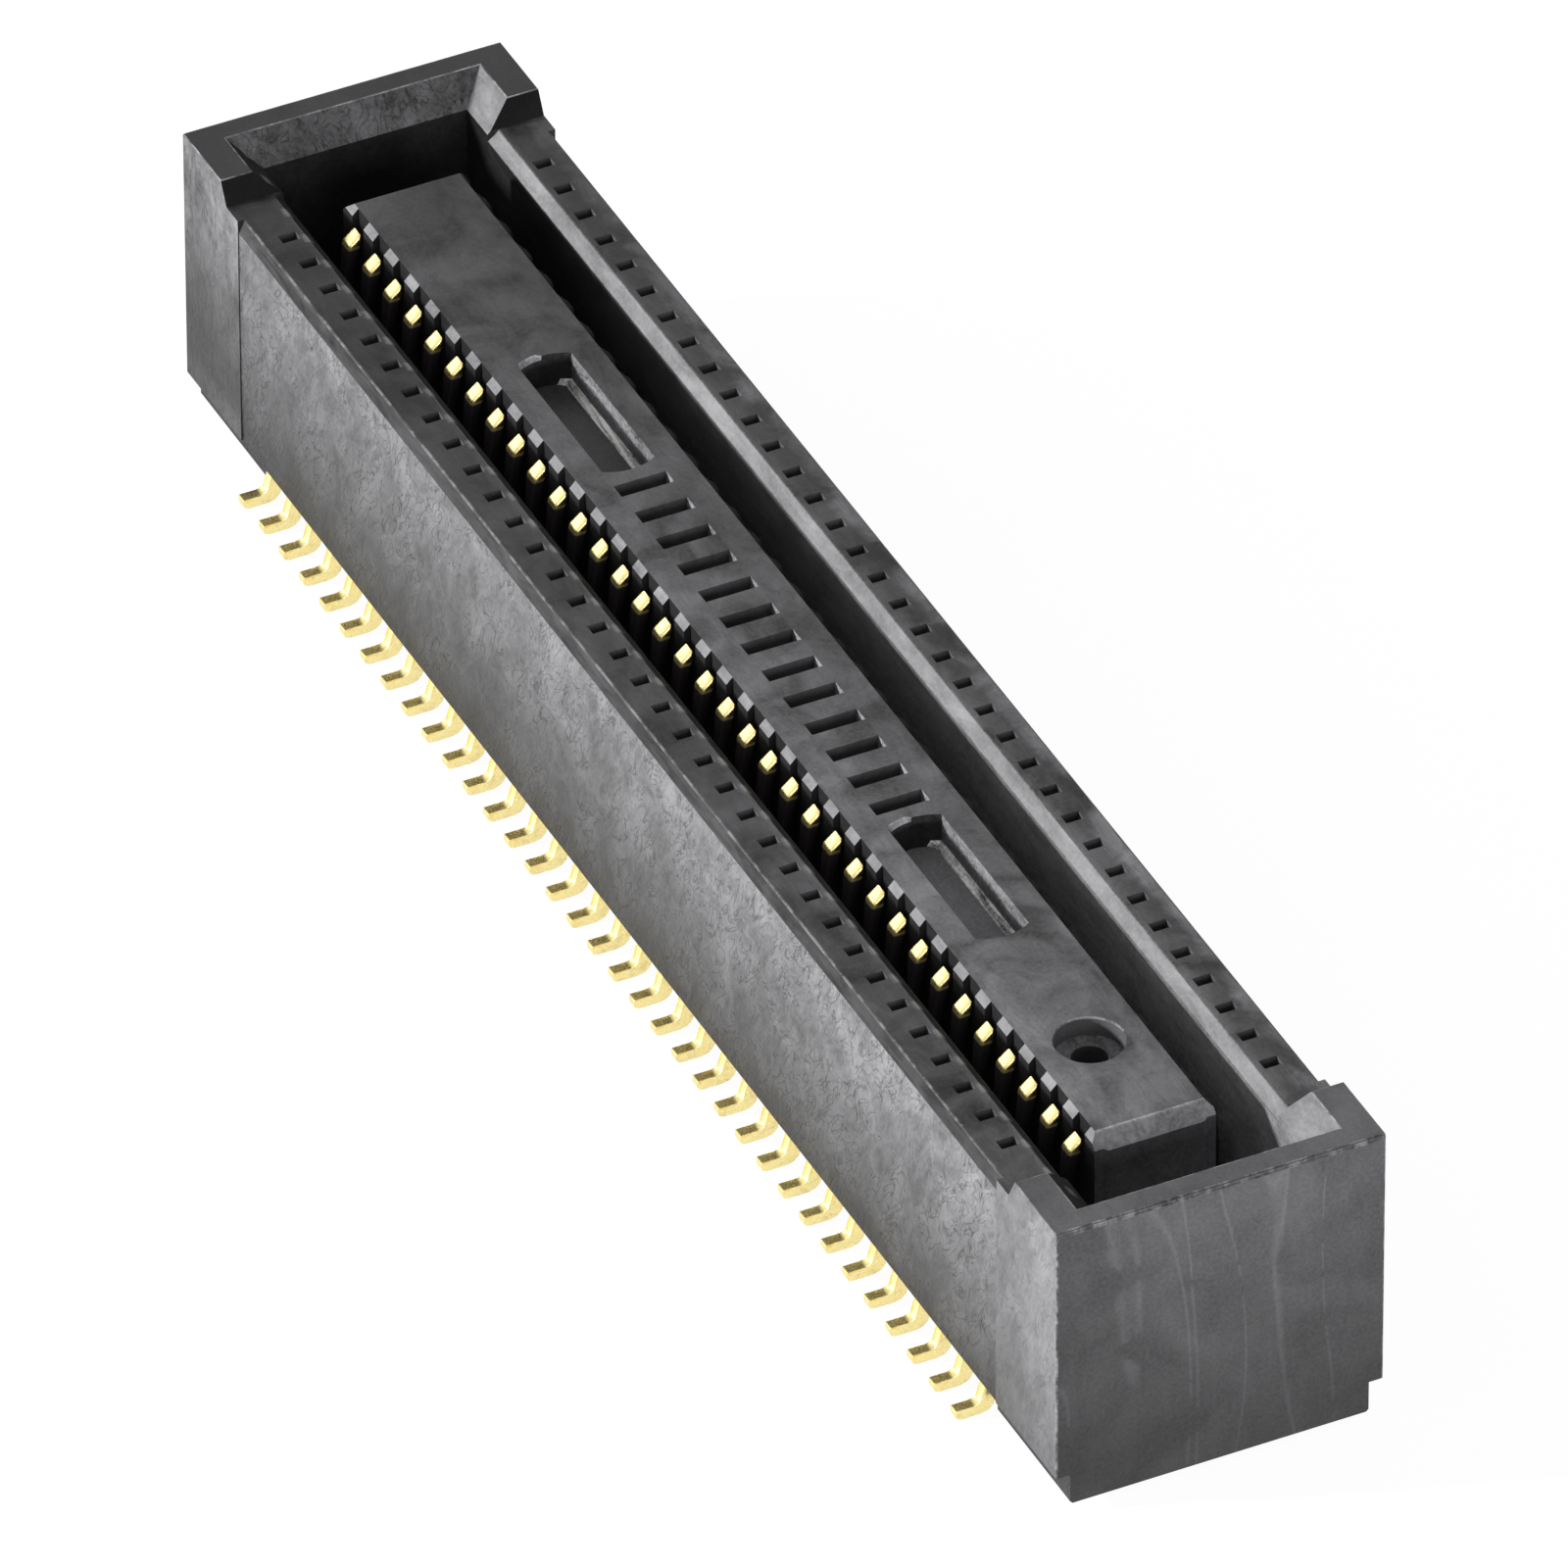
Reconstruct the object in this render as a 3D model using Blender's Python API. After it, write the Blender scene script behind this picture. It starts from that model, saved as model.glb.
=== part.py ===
"""Two-row board connector, 0.8 mm pitch, for soldering to the surface of a circuit board.

One moulded housing carries two rows of blanked contacts. The housing is a deep open well with
taller blocks at its two ends and a tongue down its middle. Each contact is one flat blank: a solder
tail outside the wall, a leg, a base under the floor, a retention post inside the wall and a beam
that stands beside the tongue.

Frame: X across the rows, Y along them, Z up. Z is 0 at the undersides of the solder tails, and X
and Y are 0 at the middle of the connector. Everything is in metres.
"""

import math

import bmesh
import bpy

MM = 0.001

# Contact rows
PITCH = 0.80 * MM
POSITIONS = 35
FUSED_POSITIONS = 3

# Heights of the housing, from the board up
STANDOFF = 0.16 * MM
FOOT_HEIGHT = 0.60 * MM
FLOOR_THICKNESS = 0.79 * MM
WELL_DEPTH = 3.82 * MM
TOWER_RISE = 0.42 * MM

# Widths of the housing, from the middle out
TONGUE_WIDTH = 1.96 * MM
RIB_DEPTH = 0.115 * MM
CHANNEL_WIDTH = 0.805 * MM
WALL_THICKNESS = 1.04 * MM
END_BLOCK_STEP = 0.02 * MM
FOOT_INSET = 0.24 * MM

# Lengths past the last contact of a row
TONGUE_OVERRUN = 0.62 * MM
WELL_OVERRUN = 2.02 * MM
END_BLOCK_START = 0.78 * MM
FOOT_START = 0.33 * MM
LOBE_START = 1.44 * MM
RAMP_LENGTH = 0.22 * MM
END_WALL = 0.95 * MM

# Edges of the housing
WALL_TOP_FLANK = 0.095 * MM
WALL_TOP_FLANK_HEIGHT = 0.25 * MM
WALL_CHAMFER = 0.20 * MM
MOUTH_CHAMFER = 0.48 * MM
TOWER_EDGE = 0.05 * MM
FOOT_EDGE = 0.045 * MM
TONGUE_END_CHAMFER = 0.30 * MM
TONGUE_CORNER = 0.15 * MM
TONGUE_CORNER_STEPS = 3
RIB_LENGTH = 0.365 * MM
RIB_CHAMFER = 0.12 * MM

# Recesses in the top of the tongue
SLOT_COUNT = 13
SLOT_WIDTH = 0.97 * MM
SLOT_LENGTH = 0.32 * MM
SLOT_DEPTH = 2.40 * MM
WINDOW_CENTRE = 7.00 * MM
WINDOW_LENGTH = 3.20 * MM
WINDOW_DEPTH = 0.65 * MM
WINDOW_ARC_RISE = 0.14 * MM
WINDOW_FOOT_CHAMFER = 0.11 * MM
WINDOW_ARC_STEPS = 6
GATE_POSITION = 11.80 * MM
GATE_DIAMETER = 1.20 * MM
GATE_DEPTH = 0.36 * MM
GATE_BORE_DIAMETER = 0.62 * MM
GATE_BORE_DEPTH = 1.00 * MM
GATE_SIDES = 24

# Contacts
CONTACT_THICKNESS = 0.20 * MM
TAIL_HEIGHT = 0.21 * MM
TAIL_REACH = 0.41 * MM
TAIL_TIP_ROUND = 0.10 * MM
TAIL_TIP_STEPS = 2
HEEL_RADIUS = 0.26 * MM
HEEL_STEPS = 3
LEG_WIDTH = 0.19 * MM
LEG_INSET = 0.14 * MM
LEG_LEAN = 0.10 * MM
LEG_LEAN_HEIGHT = 0.39 * MM
INSTEP = 0.14 * MM
INSTEP_RISE = 0.045 * MM
BASE_RISE = 0.04 * MM
BASE_HEIGHT = 0.35 * MM
POST_WIDTH = 0.295 * MM
POST_HEIGHT = 1.45 * MM
POST_TAPER = 0.065 * MM
POST_TAPER_LENGTH = 0.26 * MM
POST_INSET = 0.47 * MM
BEAM_GAP = 0.04 * MM
BEAM_FOOT_WIDTH = 0.32 * MM
BEAM_FOOT_HEIGHT = 0.35 * MM
BEAM_TIP_DROP = 0.28 * MM
BEAM_TIP_OFFSET = 0.125 * MM
BEAM_BOW = 0.19 * MM
BEAM_BOW_DROP = 0.88 * MM
BEAM_WIDTH = 0.20 * MM
FACET_RUN = 0.22 * MM
FACET_RISE = 0.18 * MM

# Play between a contact and the plastic round it
CAVITY_CLEARANCE = 0.015 * MM
CAVITY_DEPTH_CLEARANCE = 0.02 * MM
POCKET_ROOF = 0.25 * MM

# How far a cutting shape runs past the surface that it opens
OVERCUT = 0.30 * MM

# Levels and half widths that follow from the sizes above
ROW_HALF = (POSITIONS - 1) * PITCH / 2
UNDERSIDE = STANDOFF + FOOT_HEIGHT
FLOOR_TOP = UNDERSIDE + FLOOR_THICKNESS
WALL_TOP = FLOOR_TOP + WELL_DEPTH
TOWER_TOP = WALL_TOP + TOWER_RISE
TONGUE_TOP = WALL_TOP
TONGUE_HALF = TONGUE_WIDTH / 2
RIB_FACE = TONGUE_HALF + RIB_DEPTH
WALL_INNER = RIB_FACE + CHANNEL_WIDTH
WALL_OUTER = WALL_INNER + WALL_THICKNESS
END_BLOCK_HALF = WALL_OUTER + END_BLOCK_STEP
FOOT_HALF = WALL_OUTER - FOOT_INSET
TONGUE_END = ROW_HALF + TONGUE_OVERRUN
WELL_END = ROW_HALF + WELL_OVERRUN
HOUSING_END = WELL_END + END_WALL
BLOCK_INNER = ROW_HALF + END_BLOCK_START
LOBE_INNER = ROW_HALF + LOBE_START
RAMP_FOOT = LOBE_INNER - RAMP_LENGTH
FOOT_INNER = ROW_HALF + FOOT_START
POST_CENTRE = WALL_INNER + POST_INSET
BASE_BOTTOM = UNDERSIDE + BASE_RISE
BASE_TOP = BASE_BOTTOM + BASE_HEIGHT
LEG_OUTER = WALL_OUTER - LEG_INSET
LEG_INNER = LEG_OUTER - LEG_WIDTH
TAIL_END = WALL_OUTER + TAIL_REACH
BEAM_ROOT = TONGUE_HALF + BEAM_GAP
BEAM_TOP = TONGUE_TOP - BEAM_TIP_DROP
BEAM_TIP = TONGUE_HALF + BEAM_TIP_OFFSET

# Surfaces
PLASTIC_COLOR = (0.040, 0.040, 0.043, 1.0)
PLASTIC_ROUGHNESS = 0.45
GOLD_COLOR = (0.86, 0.62, 0.27, 1.0)
GOLD_ROUGHNESS = 0.25


def clear_scene():
    """Remove every object of the scene that the script starts in."""
    for obj in list(bpy.data.objects):
        bpy.data.objects.remove(obj, do_unlink=True)


def make_material(name, color, roughness, metallic):
    """Return a plain Principled material."""
    material = bpy.data.materials.new(name)
    material.use_nodes = True
    shader = material.node_tree.nodes["Principled BSDF"]
    shader.inputs["Base Color"].default_value = color
    shader.inputs["Roughness"].default_value = roughness
    shader.inputs["Metallic"].default_value = metallic
    return material


def row_positions():
    """Return the places of the contacts along Y."""
    return [index * PITCH - ROW_HALF for index in range(POSITIONS)]


def rib_positions():
    """Return the places of the tongue's ribs, one on each side of every contact."""
    return [(index - 0.5) * PITCH - ROW_HALF for index in range(POSITIONS + 1)]


def is_fused(index):
    """Tell whether a contact is one of the outer ones that are one solid with the housing."""
    return index < FUSED_POSITIONS or index >= POSITIONS - FUSED_POSITIONS


def arc(centre, radius, start_deg, end_deg, steps):
    """Return the points of an arc, both ends included."""
    points = []
    for step in range(steps + 1):
        angle = math.radians(start_deg + (end_deg - start_deg) * step / steps)
        points.append((centre[0] + radius * math.cos(angle), centre[1] + radius * math.sin(angle)))
    return points


def add_prism(bm, outline, place, start, end):
    """Add an outline extruded from start to end.

    place turns an outline point and a distance along the extrusion into a point in space.
    """
    low = [bm.verts.new(place(a, b, start)) for a, b in outline]
    high = [bm.verts.new(place(a, b, end)) for a, b in outline]
    bm.faces.new(low)
    bm.faces.new(list(reversed(high)))
    count = len(outline)
    for index in range(count):
        after = (index + 1) % count
        bm.faces.new((low[index], high[index], high[after], low[after]))


def along_x(a, b, distance):
    """Place a point of a Y-Z outline that is extruded along X."""
    return (distance, a, b)


def along_y(a, b, distance):
    """Place a point of an X-Z outline that is extruded along Y."""
    return (a, distance, b)


def along_z(a, b, distance):
    """Place a point of an X-Y outline that is extruded along Z."""
    return (a, b, distance)


def rectangle(left, right, bottom, top):
    """Return the four corners of a rectangle, anticlockwise."""
    return [(left, bottom), (right, bottom), (right, top), (left, top)]


def mirrored(outline):
    """Return an outline mirrored to the other side of the middle plane."""
    return [(-a, b) for a, b in reversed(outline)]


def add_loft(bm, sections):
    """Add a solid lofted through X-Y outlines of equal point counts, each with its height."""
    rings = [[bm.verts.new((x, y, height)) for x, y in outline] for outline, height in sections]
    bm.faces.new(list(reversed(rings[0])))
    bm.faces.new(rings[-1])
    count = len(rings[0])
    for lower, upper in zip(rings, rings[1:]):
        for index in range(count):
            after = (index + 1) % count
            bm.faces.new((lower[index], lower[after], upper[after], upper[index]))


def new_object(name, bm):
    """Turn a bmesh into an object whose faces all point outwards."""
    bmesh.ops.recalc_face_normals(bm, faces=bm.faces)
    mesh = bpy.data.meshes.new(name)
    bm.to_mesh(mesh)
    bm.free()
    obj = bpy.data.objects.new(name, mesh)
    bpy.context.scene.collection.objects.link(obj)
    return obj


def new_tool(name, bm):
    """Make a helper solid for a Boolean, which is no part of the connector itself."""
    obj = new_object(name, bm)
    obj.hide_render = True
    obj.display_type = "WIRE"
    return obj


def combine(target, tool, operation):
    """Join a helper solid to the target, or cut the target with it."""
    modifier = target.modifiers.new(tool.name, "BOOLEAN")
    modifier.operation = operation
    modifier.solver = "EXACT"
    modifier.object = tool


def wall_outline():
    """Return the housing's X-Z section between its ends, with the sloped flanks of the wall tops."""
    shoulder = WALL_TOP - WALL_TOP_FLANK_HEIGHT
    return [
        (-WALL_OUTER, UNDERSIDE),
        (WALL_OUTER, UNDERSIDE),
        (WALL_OUTER, shoulder),
        (WALL_OUTER - WALL_TOP_FLANK, WALL_TOP),
        (-WALL_OUTER + WALL_TOP_FLANK, WALL_TOP),
        (-WALL_OUTER, shoulder),
    ]


def end_block_outline():
    """Return the Y-Z outline of the end block at +Y: ledge, ramp and tower top."""
    return [
        (BLOCK_INNER, UNDERSIDE),
        (HOUSING_END, UNDERSIDE),
        (HOUSING_END, TOWER_TOP - TOWER_EDGE),
        (HOUSING_END - TOWER_EDGE, TOWER_TOP),
        (LOBE_INNER, TOWER_TOP),
        (RAMP_FOOT, WALL_TOP),
        (BLOCK_INNER, WALL_TOP),
    ]


def foot_outline():
    """Return the X-Z outline of an end foot, with its lower edges broken."""
    top = UNDERSIDE + OVERCUT
    return [
        (-FOOT_HALF + FOOT_EDGE, STANDOFF),
        (FOOT_HALF - FOOT_EDGE, STANDOFF),
        (FOOT_HALF, STANDOFF + FOOT_EDGE),
        (FOOT_HALF, top),
        (-FOOT_HALF, top),
        (-FOOT_HALF, STANDOFF + FOOT_EDGE),
    ]


def comb_outline():
    """Return the tongue's X-Y outline, with a rib on each side of every contact."""
    centre_x = TONGUE_HALF - TONGUE_CORNER
    centre_y = TONGUE_END - TONGUE_CORNER
    right = arc((centre_x, -centre_y), TONGUE_CORNER, -90, 0, TONGUE_CORNER_STEPS)
    for y in rib_positions():
        right.append((TONGUE_HALF, y - RIB_LENGTH / 2))
        right.append((RIB_FACE, y - RIB_LENGTH / 2))
        right.append((RIB_FACE, y + RIB_LENGTH / 2))
        right.append((TONGUE_HALF, y + RIB_LENGTH / 2))
    right += arc((centre_x, centre_y), TONGUE_CORNER, 0, 90, TONGUE_CORNER_STEPS)
    return right + mirrored(right)


def make_shell():
    """Make the trough: the two long walls, the end blocks and their feet, and the well."""
    bm = bmesh.new()
    add_prism(bm, wall_outline(), along_y, -BLOCK_INNER - OVERCUT, BLOCK_INNER + OVERCUT)
    shell = new_object("housing", bm)

    bm = bmesh.new()
    far = end_block_outline()
    near = mirrored(far)
    for outline in (far, near):
        add_prism(bm, outline, along_x, -END_BLOCK_HALF, END_BLOCK_HALF)
    combine(shell, new_tool("end_blocks", bm), "UNION")

    bm = bmesh.new()
    for side in (-1, 1):
        add_prism(bm, foot_outline(), along_y, side * FOOT_INNER, side * HOUSING_END)
    combine(shell, new_tool("end_feet", bm), "UNION")

    well = rectangle(-WALL_INNER, WALL_INNER, -WELL_END, WELL_END)
    flare_x = WALL_INNER + MOUTH_CHAMFER + OVERCUT
    flare_y = WELL_END + MOUTH_CHAMFER + OVERCUT
    flare = rectangle(-flare_x, flare_x, -flare_y, flare_y)
    bm = bmesh.new()
    add_loft(bm, [
        (well, FLOOR_TOP),
        (well, TOWER_TOP - MOUTH_CHAMFER),
        (flare, TOWER_TOP + OVERCUT),
    ])
    combine(shell, new_tool("well", bm), "DIFFERENCE")

    bm = bmesh.new()
    add_prism(bm, [
        (-WALL_INNER, WALL_TOP - WALL_CHAMFER),
        (WALL_INNER, WALL_TOP - WALL_CHAMFER),
        (WALL_INNER + WALL_CHAMFER + OVERCUT, WALL_TOP + OVERCUT),
        (-WALL_INNER - WALL_CHAMFER - OVERCUT, WALL_TOP + OVERCUT),
    ], along_y, -RAMP_FOOT, RAMP_FOOT)
    combine(shell, new_tool("wall_chamfers", bm), "DIFFERENCE")
    return shell


def cavity_outline():
    """Return the X-Z outline of the cavity of a contact on the +X side, open below and above."""
    side = CAVITY_CLEARANCE
    roof = BASE_TOP + CAVITY_DEPTH_CLEARANCE
    post_in = POST_CENTRE - POST_WIDTH / 2 - side
    post_out = POST_CENTRE + POST_WIDTH / 2 + side
    beam_in = TONGUE_HALF - RIB_DEPTH
    beam_out = BEAM_ROOT + BEAM_FOOT_WIDTH + 2 * CAVITY_DEPTH_CLEARANCE
    leg_out = LEG_OUTER + CAVITY_DEPTH_CLEARANCE
    bottom = UNDERSIDE - OVERCUT
    return [
        (beam_in, bottom),
        (leg_out, bottom),
        (leg_out, roof),
        (post_out, roof),
        (post_out, WALL_TOP + OVERCUT),
        (post_in, WALL_TOP + OVERCUT),
        (post_in, roof),
        (beam_out, roof),
        (beam_out, FLOOR_TOP + OVERCUT),
        (beam_in, FLOOR_TOP + OVERCUT),
    ]


def blind_pocket_outline():
    """Return the X-Z outline of the pocket in the wall top above a fused contact on the +X side."""
    half = POST_WIDTH / 2 + CAVITY_CLEARANCE
    floor = BASE_TOP + POST_HEIGHT + POCKET_ROOF
    return rectangle(POST_CENTRE - half, POST_CENTRE + half, floor, WALL_TOP + OVERCUT)


def cut_cavities(shell):
    """Cut a cavity for every separate contact, and the wall-top pockets of the fused ones."""
    half = CONTACT_THICKNESS / 2 + CAVITY_CLEARANCE
    bm = bmesh.new()
    for index, y in enumerate(row_positions()):
        outline = blind_pocket_outline() if is_fused(index) else cavity_outline()
        for shape in (outline, mirrored(outline)):
            add_prism(bm, shape, along_y, y - half, y + half)
    combine(shell, new_tool("contact_cavities", bm), "DIFFERENCE")


def window_outline(centre, half):
    """Return the X-Y outline of a long recess of a half width, whose ends are shallow arcs."""
    radius = (half ** 2 + WINDOW_ARC_RISE ** 2) / (2 * WINDOW_ARC_RISE)
    spread = math.degrees(math.asin(half / radius))
    reach = WINDOW_LENGTH / 2 + WINDOW_ARC_RISE - radius
    outline = []
    for side, middle in ((-1, 270), (1, 90)):
        arc_centre = (0.0, centre + side * reach)
        outline += arc(arc_centre, radius, middle - spread, middle + spread, WINDOW_ARC_STEPS)
    return outline


def gate_circle(diameter):
    """Return a circle about the round mark near the -Y end of the tongue."""
    last_angle = 360 - 360 / GATE_SIDES
    return arc((0.0, -GATE_POSITION), diameter / 2, 0, last_angle, GATE_SIDES - 1)


def make_tongue():
    """Make the tongue, its ribs and chamfers, and the recesses in its top."""
    bm = bmesh.new()
    add_prism(bm, comb_outline(), along_z, UNDERSIDE, TONGUE_TOP)
    tongue = new_tool("tongue", bm)

    top = TONGUE_TOP + OVERCUT
    outer = RIB_FACE + OVERCUT
    bm = bmesh.new()
    slope = RIB_CHAMFER / RIB_DEPTH
    rib_edge = [
        (TONGUE_HALF, TONGUE_TOP),
        (outer, TONGUE_TOP - slope * (outer - TONGUE_HALF)),
        (outer, top),
        (TONGUE_HALF, top),
    ]
    reach = TONGUE_END + OVERCUT
    for shape in (rib_edge, mirrored(rib_edge)):
        add_prism(bm, shape, along_y, -reach, reach)
    combine(tongue, new_tool("rib_chamfers", bm), "DIFFERENCE")

    bm = bmesh.new()
    ledge = TONGUE_END - TONGUE_END_CHAMFER
    end_edge = [
        (ledge, TONGUE_TOP),
        (reach, TONGUE_TOP - (reach - ledge)),
        (reach, top),
        (ledge, top),
    ]
    for shape in (end_edge, mirrored(end_edge)):
        add_prism(bm, shape, along_x, -outer, outer)
    combine(tongue, new_tool("tongue_end_chamfers", bm), "DIFFERENCE")

    bm = bmesh.new()
    for index in range(SLOT_COUNT):
        y = (index - (SLOT_COUNT - 1) / 2) * PITCH
        slot = rectangle(-SLOT_WIDTH / 2, SLOT_WIDTH / 2, y - SLOT_LENGTH / 2, y + SLOT_LENGTH / 2)
        add_prism(bm, slot, along_z, TONGUE_TOP - SLOT_DEPTH, top)
    for centre in (-WINDOW_CENTRE, WINDOW_CENTRE):
        mouth = window_outline(centre, SLOT_WIDTH / 2)
        floor = TONGUE_TOP - WINDOW_DEPTH
        add_loft(bm, [
            (window_outline(centre, SLOT_WIDTH / 2 - WINDOW_FOOT_CHAMFER), floor),
            (mouth, floor + WINDOW_FOOT_CHAMFER),
            (mouth, top),
        ])
    add_prism(bm, gate_circle(GATE_DIAMETER), along_z, TONGUE_TOP - GATE_DEPTH, top)
    combine(tongue, new_tool("tongue_recesses", bm), "DIFFERENCE")

    bm = bmesh.new()
    add_prism(bm, gate_circle(GATE_BORE_DIAMETER), along_z, TONGUE_TOP - GATE_BORE_DEPTH, top)
    combine(tongue, new_tool("gate_bore", bm), "DIFFERENCE")
    return tongue


def contact_outline():
    """Return the outline of a contact blank on the +X side, as distance from the middle and height."""
    post_in = POST_CENTRE - POST_WIDTH / 2
    post_out = POST_CENTRE + POST_WIDTH / 2
    post_top = BASE_TOP + POST_HEIGHT
    post_shoulder = post_top - POST_TAPER_LENGTH
    bow_height = BEAM_TOP - BEAM_BOW_DROP
    facet_low = (BEAM_TIP + FACET_RUN, BEAM_TOP - FACET_RISE)
    bow_out = BEAM_ROOT + BEAM_BOW + BEAM_WIDTH
    lean_top = TAIL_HEIGHT + LEG_LEAN_HEIGHT

    tail = [(TAIL_END, TAIL_HEIGHT)]
    tip_centre = (TAIL_END - TAIL_TIP_ROUND, TAIL_TIP_ROUND)
    tail += arc(tip_centre, TAIL_TIP_ROUND, 0, -90, TAIL_TIP_STEPS)
    heel_centre = (LEG_INNER + HEEL_RADIUS, HEEL_RADIUS)
    heel = arc(heel_centre, HEEL_RADIUS, -90, -180, HEEL_STEPS)
    base = [(LEG_INNER, BASE_BOTTOM), (BEAM_ROOT, BASE_BOTTOM)]
    beam = [
        (BEAM_ROOT, BASE_TOP),
        (BEAM_ROOT + BEAM_BOW, bow_height),
        (BEAM_TIP, BEAM_TOP - FACET_RISE / 2),
        (BEAM_TIP, BEAM_TOP),
        facet_low,
        (bow_out, bow_height),
        (BEAM_ROOT + BEAM_FOOT_WIDTH, BASE_TOP + BEAM_FOOT_HEIGHT),
        (BEAM_ROOT + BEAM_FOOT_WIDTH, BASE_TOP),
    ]
    post = [
        (post_in, BASE_TOP),
        (post_in, post_shoulder),
        (post_in + POST_TAPER, post_top),
        (post_out - POST_TAPER, post_top),
        (post_out, post_shoulder),
        (post_out, BASE_TOP),
    ]
    leg = [
        (LEG_OUTER, BASE_TOP),
        (LEG_OUTER, lean_top),
        (LEG_OUTER + LEG_LEAN, TAIL_HEIGHT + INSTEP_RISE),
        (LEG_OUTER + LEG_LEAN + INSTEP, TAIL_HEIGHT),
    ]
    return tail + heel + base + beam + post + leg


def add_fused_contacts(housing):
    """Join the outer contacts of each row to the housing, so that they are one solid with it."""
    half = CONTACT_THICKNESS / 2
    bm = bmesh.new()
    for index, y in enumerate(row_positions()):
        if not is_fused(index):
            continue
        for shape in (contact_outline(), mirrored(contact_outline())):
            add_prism(bm, shape, along_y, y - half, y + half)
    combine(housing, new_tool("fused_contacts", bm), "UNION")


def make_housing(material):
    """Make the moulded housing."""
    housing = make_shell()
    cut_cavities(housing)
    combine(housing, make_tongue(), "UNION")
    add_fused_contacts(housing)
    housing.data.materials.append(material)
    return housing


def make_contacts(material):
    """Make the separate contacts of both rows, which share one mesh."""
    half = CONTACT_THICKNESS / 2
    bm = bmesh.new()
    add_prism(bm, contact_outline(), along_y, -half, half)
    bmesh.ops.recalc_face_normals(bm, faces=bm.faces)
    blank = bpy.data.meshes.new("contact_blank")
    bm.to_mesh(blank)
    bm.free()
    blank.materials.append(material)
    for row, turn in (("left", math.pi), ("right", 0.0)):
        for index, y in enumerate(row_positions()):
            if is_fused(index):
                continue
            name = "contact_{}_{:02d}".format(row, index + 1)
            contact = bpy.data.objects.new(name, blank)
            contact.location = (0.0, y, 0.0)
            contact.rotation_euler = (0.0, 0.0, turn)
            bpy.context.scene.collection.objects.link(contact)


def main():
    """Build the connector."""
    clear_scene()
    make_housing(make_material("black_moulded_plastic", PLASTIC_COLOR, PLASTIC_ROUGHNESS, 0.0))
    make_contacts(make_material("gold_plating", GOLD_COLOR, GOLD_ROUGHNESS, 1.0))


main()
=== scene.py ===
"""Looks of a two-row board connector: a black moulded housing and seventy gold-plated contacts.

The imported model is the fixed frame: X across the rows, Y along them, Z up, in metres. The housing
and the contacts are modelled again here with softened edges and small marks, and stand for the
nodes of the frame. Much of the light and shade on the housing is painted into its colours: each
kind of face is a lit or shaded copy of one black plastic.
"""

from __future__ import annotations

import logging
import math
from collections.abc import Callable, Iterable, Iterator
from contextlib import contextmanager
from dataclasses import dataclass, field
from enum import Enum

import bmesh
import bpy
from mathutils import Matrix, Vector


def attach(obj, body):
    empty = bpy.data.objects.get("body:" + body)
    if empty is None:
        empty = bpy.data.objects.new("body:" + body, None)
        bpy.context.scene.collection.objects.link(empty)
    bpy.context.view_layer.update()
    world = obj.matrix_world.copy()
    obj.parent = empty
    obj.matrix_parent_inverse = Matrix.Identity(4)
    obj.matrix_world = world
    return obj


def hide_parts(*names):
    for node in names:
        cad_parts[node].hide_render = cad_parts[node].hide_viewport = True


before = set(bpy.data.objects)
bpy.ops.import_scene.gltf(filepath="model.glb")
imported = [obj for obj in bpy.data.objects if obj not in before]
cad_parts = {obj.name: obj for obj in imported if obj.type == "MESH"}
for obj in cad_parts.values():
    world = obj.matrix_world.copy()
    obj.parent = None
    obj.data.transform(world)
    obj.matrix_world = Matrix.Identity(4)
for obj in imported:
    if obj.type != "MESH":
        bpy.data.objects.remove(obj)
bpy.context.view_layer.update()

MM = 0.001
BODY = "root"
WELD = 1e-7
TOLERANCE = 2e-6
LEAST_TURN = 1e-6
SHARP_EDGE = math.radians(12)
SMOOTH_BELOW = math.radians(32)
DRUM_SIDES = 48
BOTH_ENDS = (Matrix.Identity(4), Matrix.Rotation(math.pi, 4, "Z"))

LOG = logging.getLogger("connector")

Span = tuple[float, float]
Point2 = tuple[float, float]
Color = tuple[float, float, float, float]
FaceTest = Callable[[Vector, Vector], bool]
PointTest = Callable[[Vector], bool]
Material = bpy.types.Material
NodeTree = bpy.types.NodeTree
Socket = bpy.types.NodeSocket
Sockets = bpy.types.bpy_prop_collection


def close(value: float, target: float) -> bool:
    """Tell whether a coordinate lies on a level."""
    return abs(value - target) < TOLERANCE


def both(half: float) -> Span:
    """Return the span that reaches equally far to both sides."""
    return -half, half


def at(x: float | None = None, y: float | None = None, z: float | None = None) -> PointTest:
    """Return a test for the points that lie on these levels."""
    levels = (x, y, z)
    return lambda co: all(level is None or close(value, level) for value, level in zip(co, levels))


class Join(Enum):
    """How a helper solid changes the workpiece."""

    ADD = "UNION"
    CUT = "DIFFERENCE"


class Axis(Enum):
    """The axes, named like the outputs of a Separate XYZ node."""

    X = "X"
    Y = "Y"
    Z = "Z"


def clear_selection() -> None:
    """Leave edit mode and deselect every object."""
    if bpy.context.object is not None and bpy.context.object.mode != "OBJECT":
        bpy.ops.object.mode_set(mode="OBJECT")
    bpy.ops.object.select_all(action="DESELECT")


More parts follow.
